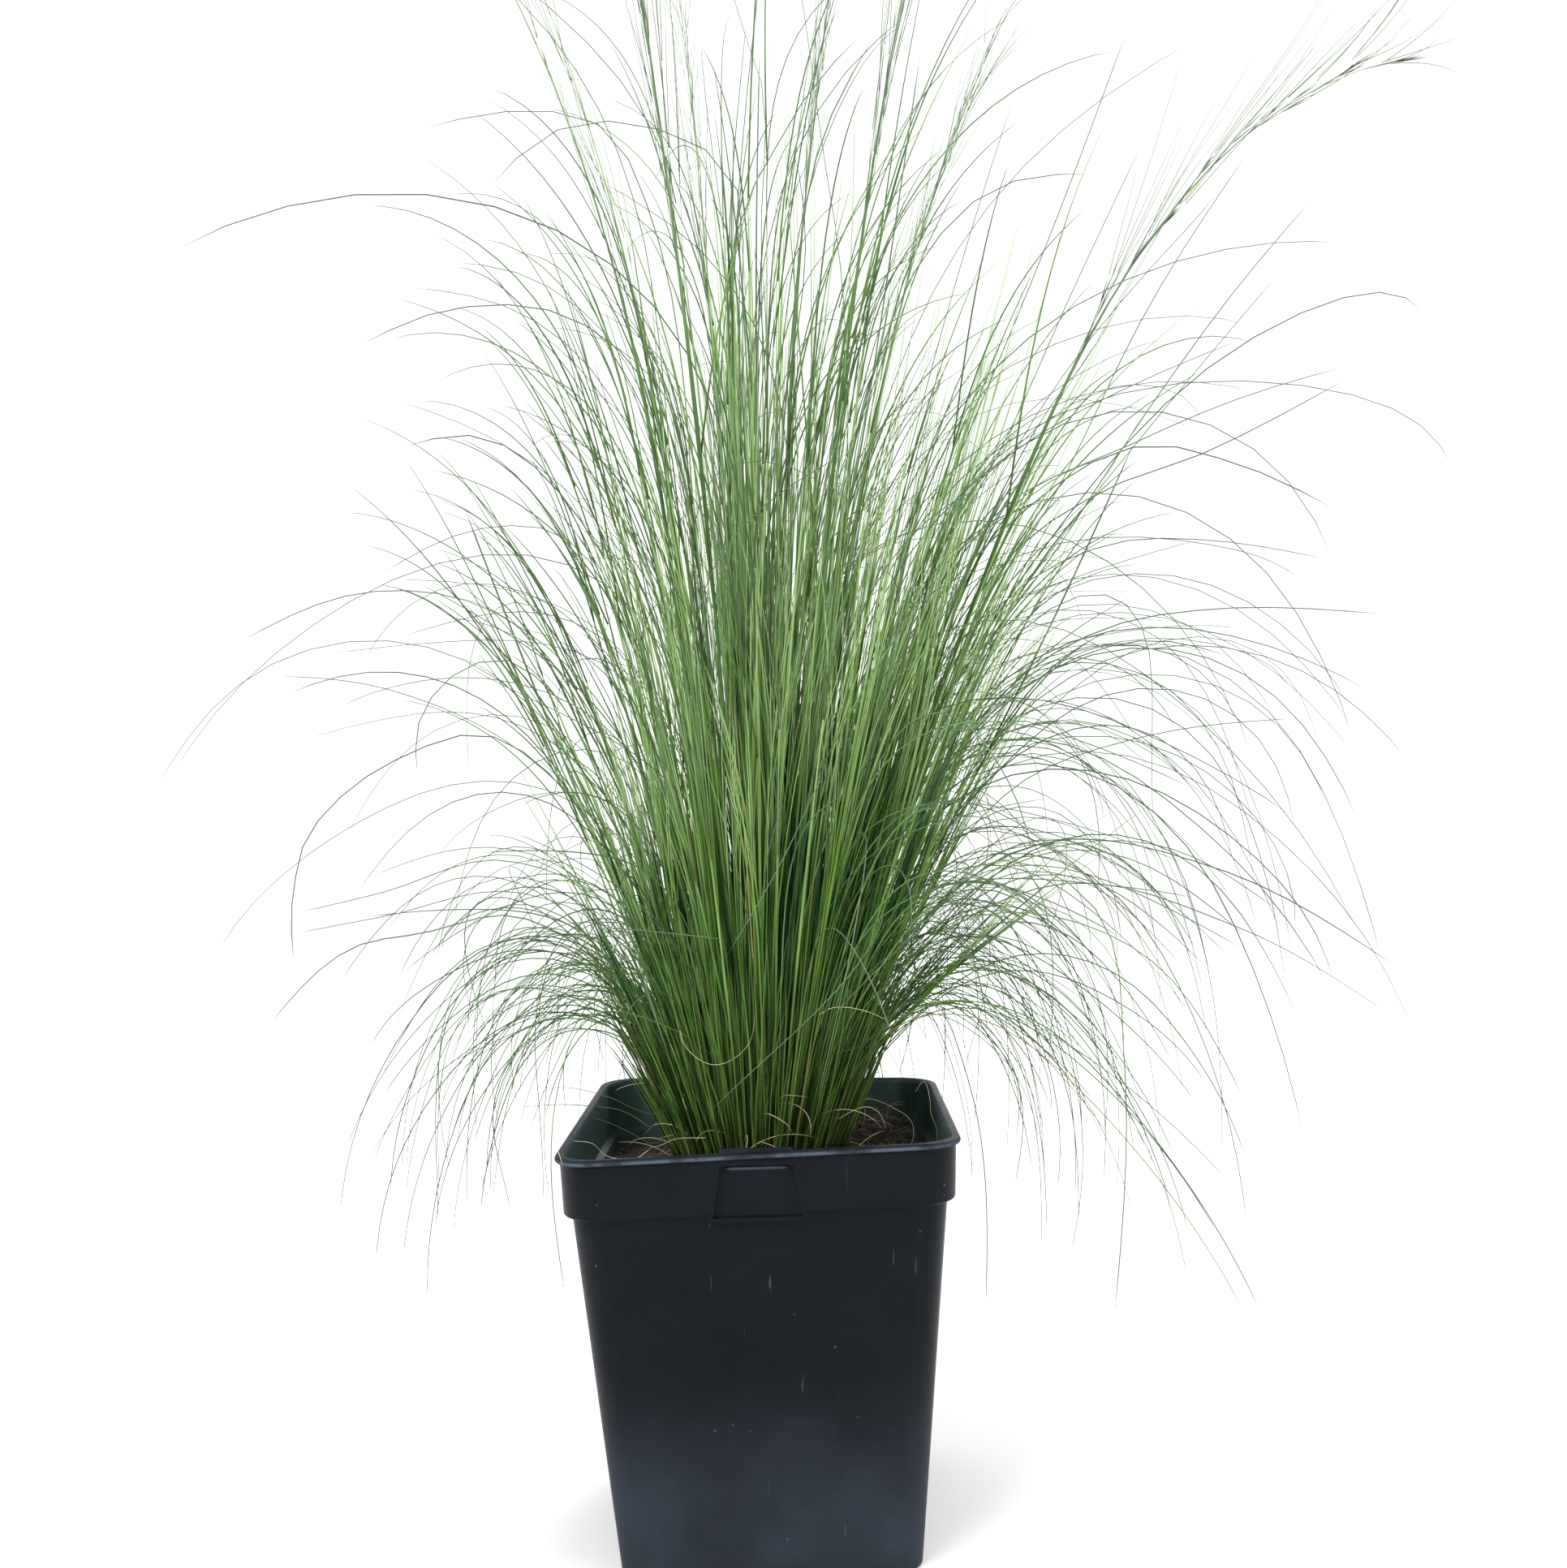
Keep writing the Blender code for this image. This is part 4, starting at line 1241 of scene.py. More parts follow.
def erect_leaves(ring, heading, length, rng):
    """The leaves that stand up with the tuft, in tillers."""
    side = towards(heading, FULLER_HEADING)
    count = round(ring["erect"] * (1.0 + ring["fuller"] * side))
    tillers = -(-count // TILLER_LEAVES)
    lock = np.radians(90 + 120 * rng.integers(0, 3, tillers))
    ways = heading + ring["spread"] * np.cos(lock) + rng.normal(0, ring["scatter"], tillers)
    headings = of_tiller(ways, count) + rng.normal(0, LEAF_HEADING_SCATTER, count)
    tall = SHORTEST + (ring["erect_share"] - SHORTEST) * rng.random(tillers) ** TALL_POWER
    size = of_tiller(tall, count) * between(rng, LEAF_OF_TILLER, count)
    lengths = length * size * (1.0 + ring["side"] * side)
    tiller_leans = ring["lean"] * (1.0 + MORE_LEAN * side)
    tiller_leans = tiller_leans + rng.normal(0, TILLER_LEAN_SCATTER, tillers)
    leans = of_tiller(tiller_leans, count) + rng.normal(0, LEAF_LEAN_SCATTER, count)
    opening = of_tiller(between(rng, TILLER_OPENING, tillers), count)
    tips = leans + ring["opening"] * size * opening
    bends = of_tiller(between(rng, TILLER_BEND, tillers), count)
    drift = of_tiller(rng.normal(0, TILLER_DRIFT, tillers), count)
    drift = drift + rng.normal(0, LEAF_DRIFT, count)
    seats, feet = tuft_starts(ring, heading, headings, rng)
    paths = bend_paths(
        draw_together(seats), headings, leans, tips, bends, lengths, LEAF_RINGS - CROWN_RINGS,
        drift)
    widths = taper(between(rng, ERECT_HALF_WIDTH, count), LEAF_RINGS, *ERECT_NARROWING)
    kinds = of_tiller(rng.normal(ring["fresh"], TILLER_KIND_SCATTER, tillers), count)
    kinds = (kinds + rng.normal(0, LEAF_KIND_SCATTER, count)).clip(*LIVE_KINDS)
    kinds = np.where(rng.random(count) < DEAD_SHARE, DEAD_ERECT_KIND, kinds)
    points = add_foot(paths, draw_together(feet))
    return lay_strands(LEAF_MASTER, points, widths, kinds, any_turn(rng, count))


print("tillers of", TILLER_LEAVES, "erect leaves")

# %% [markdown]
# Arching leaves are as thin as hair and bend right over, so that their tips hang. They make the open
# outline. More of them lean to the viewer's right, few lean to the viewer, and those that would hang
# in front of the pot are left out, as in the photo.

# %% Arching leaves
ARCH_HALF_WIDTH = (0.00023, 0.00035)
ARCH_NARROWING = (0.5, 4.0)
ARCH_BEND = (0.7, 1.6)
ARCH_DRIFT = 70
ARCH_KIND = 0.35
ARCH_KIND_SCATTER = 0.20
LONGER_ARCHES_HEADING = 50.0
LONGER_ARCHES = 0.18
FEWER_IN_FRONT = 0.95
STRAIGHTER_IN_FRONT = 0.60
SHORT_STRAIGHTER = 0.14  # how much less the shortest arching leaves bend than the longest
POT_CLEARANCE = 0.085
POT_FRONT_Y = -0.045
ABOVE_RIM = 0.03


def crosses_pot_front(points):
    """Which strands would hang down in front of the pot, where the photo shows hardly any."""
    before_pot = (points[:, :, 1] < POT_FRONT_Y) & (np.abs(points[:, :, 0]) < POT_CLEARANCE)
    return (before_pot & (points[:, :, 2] < POT_HEIGHT + ABOVE_RIM)).any(axis=1)


def arching_leaves(ring, heading, rng):
    """The hair-fine leaves that bend right over."""
    fuller = 1.0 + ring["fuller"] * towards(heading, FULLER_HEADING)
    count = round(ring["arching"] * fuller * (1.0 - FEWER_IN_FRONT * in_front(heading)))
    headings = heading + rng.normal(0, ring["step"] / 1.4, count)
    leans = between(rng, ring["arch_lean"], count)
    size = rng.random(count)
    low, high = ring["arch_length"]
    longer = 1.0 + LONGER_ARCHES * towards(heading, LONGER_ARCHES_HEADING)
    lengths = (low + (high - low) * size) * longer
    tips = between(rng, ring["arch_tip"], count) * (1.0 - STRAIGHTER_IN_FRONT * in_front(heading))
    tips = tips * (1.0 - SHORT_STRAIGHTER * (1.0 - size))
    seats, feet = tuft_starts(ring, heading, headings, rng)
    paths = bend_paths(
        seats, headings, leans, tips, between(rng, ARCH_BEND, count), lengths,
        ARCH_RINGS - CROWN_RINGS, rng.normal(0, ARCH_DRIFT, count),
        between(rng, ring["arch_knee"], count))
    widths = taper(between(rng, ARCH_HALF_WIDTH, count), ARCH_RINGS, *ARCH_NARROWING)
    points = add_foot(draw_in(paths), feet)
    clear = ~crosses_pot_front(points)
    kinds = with_dead(rng, rng.normal(ARCH_KIND, ARCH_KIND_SCATTER, count).clip(*LIVE_KINDS))
    twists = any_turn(rng, count)
    return lay_strands(ARCH_MASTER, points[clear], widths[clear], kinds[clear], twists[clear])


print("arching leaves are", [2000 * value for value in ARCH_HALF_WIDTH], "mm thick")

# %% [markdown]
# Shoots are stouter. Each is a stem wrapped in bright green sheaths, from which a few leaves part
# near its top. They bring the fresh, broad strokes between the fine leaves. The drooping tufts at
# the rim have none.

# %% Shoots and their leaves
SHOOT_HALF_WIDTH = (0.00042, 0.00068)
SHOOT_SWELL = ([0.0, 0.25, 0.55, 1.0], [0.60, 0.85, 1.0, 0.42])
SHOOT_OF_LEAVES = (0.46, 0.76)  # a shoot's length as a share of the longest erect leaf's
SHOOT_SPREAD = 0.9  # its scatter of headings, its lean and its opening, as shares of the tuft's
SHOOT_LEAN = 1.2
SHOOT_OPENING = (0.2, 0.9)
SHOOT_LEAN_SCATTER = 2.5
SHOOT_DRIFT = 8
SHOOT_KINDS = (0.3, 0.9)
SHOOT_SHARES = (0.58, 0.78, 0.92, 1.0)  # where along a shoot its leaves part from it
SHOOT_LEAF_HALF_WIDTH = (0.00030, 0.00046)
SHOOT_LEAF_NARROWING = (0.3, 2.4)
SHOOT_LEAF_LONGEST = (0.08, 0.30)  # in metres, and the share of the shoot's length added to that
SHOOT_LEAF_OF_LENGTH = (0.45, 1.0)
SHOOT_LEAF_TURN = 14
SHOOT_LEAF_LEAN = (-2, 7)
SHOOT_LEAF_BEND_OVER = (8, 130)  # degrees, for a leaf of the length below
SHOOT_LEAF_BEND_LENGTH = 0.20
SHOOT_LEAF_MOST_LEAN = 165
SHOOT_LEAF_BEND = (1.3, 2.4)
SHOOT_LEAF_DRIFT = 18
SHOOT_LEAF_KINDS = (0.15, 0.75)


def point_along(path, share):
    """The point and the direction at a share of a path."""
    at = share * (len(path) - 1)
    before = min(int(at), len(path) - 2)
    step = path[before + 1] - path[before]
    return path[before] + step * (at - before), step / np.linalg.norm(step)


def heading_and_lean(directions):
    """Headings and leans of directions, in degrees."""
    headings = np.degrees(np.arctan2(directions[:, 1], directions[:, 0]))
    return headings, np.degrees(np.arccos(directions[:, 2].clip(-1, 1)))


def build_shoots(ring, heading, length, rng):
    """Sheathed shoots, with their paths above the seats and their lengths."""
    count = ring["shoots"]
    headings = heading + rng.normal(0, ring["spread"] * SHOOT_SPREAD, count)
    lengths = length * ring["erect_share"] * between(rng, SHOOT_OF_LEAVES, count)
    leans = ring["lean"] * SHOOT_LEAN + rng.normal(0, SHOOT_LEAN_SCATTER, count)
    tips = leans + ring["opening"] * between(rng, SHOOT_OPENING, count)
    seats, feet = tuft_starts(ring, heading, headings, rng)
    paths = bend_paths(
        seats, headings, leans, tips, np.full(count, 1.5), lengths, SHEATH_RINGS - CROWN_RINGS,
        rng.normal(0, SHOOT_DRIFT, count))
    swell = np.interp(np.linspace(0.0, 1.0, SHEATH_RINGS + 1), *SHOOT_SWELL)
    widths = between(rng, SHOOT_HALF_WIDTH, count)[:, None] * swell[None, :]
    sheaths = lay_strands(
        SHEATH_MASTER, add_foot(paths, feet), widths, between(rng, SHOOT_KINDS, count),
        any_turn(rng, count))
    return sheaths, paths, lengths


def build_shoot_leaves(paths, lengths, rng):
    """The leaves that part from shoots near their tops."""
    starts, ways = zip(*[point_along(path, share) for path in paths for share in SHOOT_SHARES])
    headings, leans = heading_and_lean(np.array(ways))
    count = len(starts)
    headings = headings + rng.normal(0, SHOOT_LEAF_TURN, count)
    leans = leans + between(rng, SHOOT_LEAF_LEAN, count)
    at_least, more = SHOOT_LEAF_LONGEST
    longest = np.repeat(at_least + more * lengths, len(SHOOT_SHARES))
    lengths = longest * between(rng, SHOOT_LEAF_OF_LENGTH, count)
    bent = between(rng, SHOOT_LEAF_BEND_OVER, count) * (lengths / SHOOT_LEAF_BEND_LENGTH)
    tips = (leans + bent).clip(0, SHOOT_LEAF_MOST_LEAN)
    points = bend_paths(
        np.array(starts), headings, leans, tips, between(rng, SHOOT_LEAF_BEND, count), lengths,
        LEAF_RINGS, rng.normal(0, SHOOT_LEAF_DRIFT, count))
    widths = taper(between(rng, SHOOT_LEAF_HALF_WIDTH, count), LEAF_RINGS, *SHOOT_LEAF_NARROWING)
    kinds = between(rng, SHOOT_LEAF_KINDS, count)
    return lay_strands(LEAF_MASTER, draw_in(points), widths, kinds, any_turn(rng, count))


print("shoots with", len(SHOOT_SHARES), "leaves each")

# %% [markdown]
# One mesh stands for each tuft's solid. Every tuft has a seed of its own, so that a change to one
# leaves the others as they were.

# %% Grow the tufts
LEAF_SEED = 100
triangles = 0
for number, (ring, heading, length) in enumerate(tufts, start=1):
    rng = np.random.default_rng(LEAF_SEED + number)
    parts = [erect_leaves(ring, heading, length, rng), arching_leaves(ring, heading, rng)]
    slots = [0, 1]
    if ring["shoots"]:
        sheaths, paths, lengths = build_shoots(ring, heading, length, rng)
        parts += [build_shoot_leaves(paths, lengths, rng), sheaths]
        slots += [1, 2]
    tuft = join_strands(
        f"leaves_{number:02d}", parts, [leaf_green, fine_green, sheath_green], slots)
    add_piece(tuft, "leaf_green", f"leaf_tuft_{number:02d}")
    triangles += sum(len(face.vertices) - 2 for face in tuft.data.polygons)
print("tufts:", triangles, "triangles")

# %% [markdown]
# ## Leaves that stand out
#
# The photo's outline is drawn by a few dozen long leaves that arch far out of the clump. Each is
# written down as the pixels that it passes in the photo and the depth at which its tip ends, towards
# the viewer or away. It starts at a seat on the crown below its own direction, and a smooth curve
# runs through the points.

# %% Curves through points of the photo
ROUTE_RINGS = 26
ROUTE_MASTER = make_master(3, ROUTE_RINGS)
CROWN_PIXEL = np.array([941.0, 1330.0])  # where the photo shows the middle of the crown
LONG_LEAF_SEED = 41
LONG_LEAF_SEAT_RADIUS = 0.036
LONG_LEAF_NARROWING = (0.6, 4.0)
POINTS_IN_SPAN = 24
UP = np.array([0.0, 0.0, 1.0])


def smooth_route(waypoints, first_direction, rings):
    """A smooth curve through waypoints, as evenly spaced points."""
    stops = np.array(waypoints, dtype=float)
    steps = stops[1:] - stops[:-1]
    spans = np.linalg.norm(steps, axis=1)
    tangents = np.zeros_like(stops)
    tangents[1:-1] = steps[:-1] / spans[:-1, None] + steps[1:] / spans[1:, None]
    tangents[0] = first_direction
    tangents[-1] = 1.5 * steps[-1] / spans[-1] - 0.5 * tangents[-2] / np.linalg.norm(tangents[-2])
    tangents /= np.linalg.norm(tangents, axis=1, keepdims=True)
    t = np.linspace(0.0, 1.0, POINTS_IN_SPAN)[:, None]
    pieces = []
    for at, span in enumerate(spans):
        pieces.append(
            (2 * t ** 3 - 3 * t ** 2 + 1) * stops[at]
            + (t ** 3 - 2 * t ** 2 + t) * tangents[at] * span
            + (3 * t ** 2 - 2 * t ** 3) * stops[at + 1]
            + (t ** 3 - t ** 2) * tangents[at + 1] * span)
    fine = np.concatenate(pieces)
    gone = np.concatenate([[0.0], np.cumsum(np.linalg.norm(np.diff(fine, axis=0), axis=1))])
    wanted = np.linspace(0.0, gone[-1], rings + 1)
    return np.stack([np.interp(wanted, gone, fine[:, axis]) for axis in range(3)], axis=1)


def crown_route(pixels, tip_depth):
    """The route of a leaf from its foot in the soil over its seat through photo pixels."""
    tip = photo_point(pixels[-1], tip_depth)
    heading = np.degrees(np.arctan2(tip.y, tip.x))
    outward = level_directions(np.array([heading]))[0]
    seat = outward * LONG_LEAF_SEAT_RADIUS + SEAT_Z * UP
    foot = outward * LONG_LEAF_SEAT_RADIUS * CROWN_TAPER + CROWN_SHIFT + FOOT_Z * UP
    spans = np.linalg.norm(np.diff(np.array(pixels, dtype=float), axis=0), axis=1)
    first = 0.8 * np.linalg.norm(np.array(pixels[0]) - CROWN_PIXEL)
    gone = np.concatenate([[first], first + np.cumsum(spans)])
    stops = [foot, seat]
    for pixel, share in zip(pixels, gone / gone[-1]):
        depth = seat[1] + (tip_depth - seat[1]) * share ** 1.5
        stops.append(np.array(photo_point(pixel, depth)))
    return smooth_route(stops, UP + 0.25 * outward, ROUTE_RINGS)


print("curves through the photo start from the pixel", CROWN_PIXEL)

# %% [markdown]
# Most of these leaves are hair-fine, and two stouter ones rise at the left and the right of the
# middle. Depths were chosen so that the plant is about as deep as it is wide.

# %% The long leaves of the photo
# Each leaf: the pixels it passes towards its tip, the tip's depth, its half width in millimetres.
LONG_LEAVES = [
    ([(760, 900), (600, 750), (450, 730), (293, 792)], 0.10, 0.40),
    ([(780, 1080), (640, 925), (480, 850), (340, 833)], 0.12, 0.36),
    ([(760, 1060), (608, 908), (490, 935), (385, 1020), (362, 1095), (362, 1185)], -0.27, 0.28),
    ([(850, 560), (800, 260), (740, 155), (640, 137), (510, 162)], 0.02, 0.38),
    ([(905, 620), (915, 360), (900, 215), (830, 165), (700, 155), (595, 240)], -0.06, 0.34),
    ([(840, 800), (800, 480), (700, 390), (560, 380), (435, 430)], 0.05, 0.42),
    ([(830, 700), (740, 470), (640, 385), (495, 353)], 0.09, 0.34),
    ([(840, 650), (760, 430), (660, 345), (550, 322)], 0.07, 0.34),
    ([(810, 860), (700, 620), (600, 540), (490, 553)], -0.08, 0.40),
    ([(800, 900), (700, 665), (600, 650), (465, 710)], 0.10, 0.34),
    ([(760, 1000), (630, 815), (570, 825), (520, 880), (515, 960)], -0.11, 0.36),
    ([(780, 1140), (620, 1060), (470, 1100), (365, 1125)], 0.02, 0.32),
    ([(790, 1180), (640, 1100), (470, 1130), (365, 1150)], 0.05, 0.30),
    ([(800, 1250), (640, 1130), (520, 1150), (430, 1170), (330, 1265)], -0.04, 0.34),
    ([(800, 1290), (700, 1250), (640, 1270), (555, 1310)], -0.03, 0.30),
    ([(810, 1260), (730, 1250), (690, 1330), (697, 1600)], -0.14, 0.28),
    ([(800, 1230), (690, 1220), (640, 1310), (607, 1480)], 0.27, 0.36),
    ([(800, 1260), (720, 1230), (660, 1270), (640, 1350)], 0.07, 0.26),
    ([(1020, 760), (1090, 420), (1150, 300), (1230, 230), (1360, 215)], -0.03, 0.38),
    ([(1100, 900), (1220, 640), (1400, 545), (1530, 490), (1665, 450)], 0.04, 0.38),
    ([(1090, 950), (1250, 680), (1370, 600), (1480, 560), (1668, 462)], -0.04, 0.40),
    ([(1080, 860), (1250, 640), (1400, 550), (1520, 570), (1650, 630)], -0.08, 0.40),
    ([(1100, 960), (1250, 730), (1370, 670), (1480, 665), (1640, 690)], 0.06, 0.36),
    ([(1100, 1060), (1240, 850), (1360, 775), (1500, 750), (1710, 757)], -0.06, 0.38),
    ([(1090, 1180), (1250, 970), (1400, 910), (1600, 885)], 0.08, 0.34),
    ([(1090, 1080), (1260, 850), (1400, 790), (1520, 810)], -0.10, 0.36),
    ([(1070, 1240), (1200, 1130), (1400, 1170), (1535, 1360)], -0.09, 0.34),
    ([(1080, 1200), (1250, 1060), (1420, 1040), (1573, 1120)], 0.03, 0.34),
    ([(1080, 1200), (1280, 1040), (1500, 1070), (1727, 1195)], -0.05, 0.36),
    ([(1080, 1220), (1300, 1090), (1520, 1140), (1720, 1255)], 0.07, 0.32),
    ([(1060, 1200), (1230, 1060), (1350, 1120), (1385, 1300), (1373, 1625)], -0.12, 0.32),
    ([(1060, 1290), (1140, 1230), (1190, 1320), (1215, 1610)], -0.15, 0.28),
    ([(1060, 1270), (1160, 1190), (1250, 1290), (1290, 1520)], 0.29, 0.38),
    ([(870, 1400), (800, 1200), (700, 950), (640, 800), (570, 620)], -0.02, 0.62),
    ([(1000, 1380), (1050, 1250), (1200, 960), (1300, 760), (1400, 540)], 0.03, 0.62),
    ([(960, 700), (975, 420), (1010, 180), (1080, 40)], -0.04, 0.50),
    ([(940, 760), (932, 420), (936, 60)], 0.00, 0.55),
    ([(1010, 820), (1060, 560), (1100, 300), (1135, 60)], -0.02, 0.50),
    ([(885, 450), (920, 250), (960, 175), (1000, 110), (1070, 34)], -0.05, 0.38),
    ([(925, 450), (965, 230), (1000, 150), (1050, 80), (1125, 12)], 0.02, 0.38),
    ([(1045, 520), (1035, 320), (1015, 190), (1000, 80), (980, -60)], 0.04, 0.32),
    ([(905, 520), (905, 320), (910, 240), (920, 120), (940, -60)], -0.03, 0.32),
    ([(940, 500), (938, 280), (940, 110), (925, 65), (890, -50)], 0.07, 0.30),
    ([(900, 520), (893, 300), (885, 235), (870, 125), (862, 30)], -0.01, 0.30),
    ([(830, 640), (810, 400), (790, 280), (750, 160), (695, 65), (600, -40)], 0.03, 0.34),
    ([(880, 560), (870, 350), (840, 240), (795, 145), (745, 75), (630, -30)], -0.04, 0.32),
    ([(1110, 900), (1286, 634), (1420, 370), (1543, 180)], 0.03, 0.34),
    ([(1120, 940), (1300, 680), (1414, 506), (1520, 360), (1625, 236)], -0.04, 0.34),
    ([(1110, 960), (1280, 700), (1427, 514), (1582, 330)], 0.06, 0.34),
    ([(1060, 860), (1166, 600), (1290, 300), (1393, 26)], 0.00, 0.32),
    ([(1070, 850), (1230, 560), (1330, 340), (1414, 163)], -0.05, 0.30),
    ([(1040, 900), (1110, 600), (1180, 340), (1252, 111)], 0.04, 0.30),
]


def build_long_leaves():
    """The leaves that draw the photo's outline."""
    rng = np.random.default_rng(LONG_LEAF_SEED)
    points = np.array([crown_route(pixels, depth) for pixels, depth, _ in LONG_LEAVES])
    half_widths = np.array([millimetres for _, _, millimetres in LONG_LEAVES]) / 1000
    count = len(LONG_LEAVES)
    kinds = rng.uniform(0.2, 0.85, count)
    part = lay_strands(
        ROUTE_MASTER, points, taper(half_widths, ROUTE_RINGS, *LONG_LEAF_NARROWING), kinds,
        any_turn(rng, count))
    return join_strands("long_leaves", [part], [fine_green])


long_leaves = add_piece(build_long_leaves(), "leaf_green")
corners = np.array(long_leaves.bound_box)
print("long leaves:", len(LONG_LEAVES), "from", corners.min(axis=0), "to", corners.max(axis=0))

# %% [markdown]
# ## Flower stems
#
# A flower stem is a green culm, stouter than the leaves, with three short leaves on it. Its head is
# a loose, narrow panicle: thin branches with slender spikelets, and from each spikelet a silky awn
# much longer than itself, thinner than a hair. The awns make the pale haze at the top of the plant.
# The first stem leans far out to the viewer's right, and its head is narrower and mostly dark.

# %% Culms and their leaves
FLOWER_SEED = 200
HEAD_START = 0.60
HEAD_END = 0.97
# Half widths at shares of the culm's length: it is thickest where its sheath holds the young head.
CULM_HALF_WIDTHS = (
    [0.0, 0.40, 0.56, 0.66, 0.74, 1.0], [0.0007, 0.0007, 0.0010, 0.0007, 0.0004, 0.00016])
CULM_KIND = 0.15
FLAG_LEAF_PLACES = (0.22, 0.36, 0.50)
FLAG_LEAF_TURN = 30
FLAG_LEAF_LEANS = (3, 45)  # at its foot and at its tip, beyond the culm's own lean
FLAG_LEAF_LENGTH = (0.12, 0.22)
FLAG_LEAF_HALF_WIDTH = 0.00052
HEAD_NODES = 15
BRANCHES_AT_NODE = 2
BRANCH_LENGTH = 0.062
BRANCH_SHORTER = 0.036  # how much shorter the branches at the top are than those at the foot
BRANCH_HALF_WIDTH = 0.00020
SPIKELETS_ON_BRANCH = 2
FLORET_LENGTH = (0.011, 0.017)
FLORET_HALF_WIDTH = 0.00016
FLORET_SWELL = np.array([0.35, 1.0, 0.85, 0.5, 0.2])
AWN_LENGTH = (0.04, 0.10)
AWN_HALF_WIDTH = 0.00018
DARK_STEM = 1
DARK_SHARE = 0.75
DARK_KIND = 0.96
DARK_FLORET_HALF_WIDTH = 0.00023
DARK_STEM_BRANCHES = 0.6  # how long its branches are, as a share of the others'
# Each stem: heading, seat radius, lean, tip lean, how late the bend comes, length, and how full its
# head is.
FLOWER_STEMS = [
    (344, 0.0225, 22, 90, 5.0, 0.482, 0.6), (51, 0.0200, 12, 36, 1.8, 0.545, 0.8),
    (103, 0.0200, 5, 26, 1.8, 0.540, 0.5), (154, 0.0200, 2, 22, 1.8, 0.500, 0.3),
    (206, 0.0200, 3, 34, 2.6, 0.500, 0.2), (258, 0.0200, 8, 34, 1.8, 0.500, 0.8),
    (309, 0.0200, 8, 26, 1.8, 0.525, 0.7), (53, 0.0115, 3, 18, 1.8, 0.545, 0.5),
]
CULM_RINGS = 30
CULM_MASTER = make_master(5, CULM_RINGS + CROWN_RINGS)


def build_culm(stem):
    """The culm from its foot in the soil, and its path above the seat."""
    heading, radius, lean, tip_lean, bend, length, _ = stem
    outward = level_directions(np.array([float(heading)]))
    seat = outward * radius + SEAT_Z * UP
    foot = outward * radius * CROWN_TAPER + CROWN_SHIFT + FOOT_Z * UP
    values = [np.array([float(value)]) for value in (heading, lean, tip_lean, bend, length)]
    path = bend_paths(seat, *values, CULM_RINGS, np.zeros(1))
    points = add_foot(path, foot)
    widths = np.interp(np.linspace(0.0, 1.0, points.shape[1]), *CULM_HALF_WIDTHS)[None]
    culm = lay_strands(CULM_MASTER, points, widths, np.array([CULM_KIND]), np.array([0.3]))
    return culm, path[0]


def build_flag_leaves(path, rng):
    """Short leaves that part from the culm."""
    starts, ways = zip(*[point_along(path, at) for at in FLAG_LEAF_PLACES])
    headings, leans = heading_and_lean(np.array(ways))
    count = len(starts)
    headings = headings + rng.normal(0, FLAG_LEAF_TURN, count)
    paths = bend_paths(
        np.array(starts), headings, leans + FLAG_LEAF_LEANS[0], leans + FLAG_LEAF_LEANS[1],
        np.full(count, 1.5), between(rng, FLAG_LEAF_LENGTH, count), LEAF_RINGS,
        rng.normal(0, 12, count))
    return lay_strands(
        LEAF_MASTER, paths, taper(np.full(count, FLAG_LEAF_HALF_WIDTH), LEAF_RINGS),
        rng.uniform(0.4, 0.85, count), rng.uniform(0, 6, count))


print("culms with", len(FLAG_LEAF_PLACES), "short leaves each")

# %% [markdown]
# The head is built from below: branches along the last part of the culm, two spikelets on each
# branch, and an awn on each spikelet. Each step starts from the points of the one before it.

# %% Flower heads
def build_branches(path, fullness, length_share, rng):
    """The head's thin branches, and their paths."""
    starts, ways, sizes = [], [], []
    nodes = max(3, round(HEAD_NODES * fullness))
    for node in range(nodes):
        at = HEAD_START + (HEAD_END - HEAD_START) * node / (nodes - 1)
        start, way = point_along(path, at)
        size = BRANCH_LENGTH - BRANCH_SHORTER * node / (nodes - 1)
        starts += [start] * BRANCHES_AT_NODE
        ways += [way] * BRANCHES_AT_NODE
        sizes += [size] * BRANCHES_AT_NODE
    count = len(starts)
    headings, leans = heading_and_lean(np.array(ways))
    headings = headings + rng.normal(0, 6, count)
    leans = leans + rng.normal(0.5, 2.2, count)
    lengths = np.array(sizes) * rng.uniform(0.7, 1.1, count) * length_share
    paths = bend_paths(
        np.array(starts), headings, leans, leans + rng.uniform(-2, 4, count), np.full(count, 1.2),
        lengths, AWN_MASTER["rings"], np.zeros(count))
    widths = taper(np.full(count, BRANCH_HALF_WIDTH), AWN_MASTER["rings"], 0.6)
    kinds = rng.uniform(0.4, 0.8, count)
    return lay_strands(AWN_MASTER, paths, widths, kinds, np.zeros(count)), paths


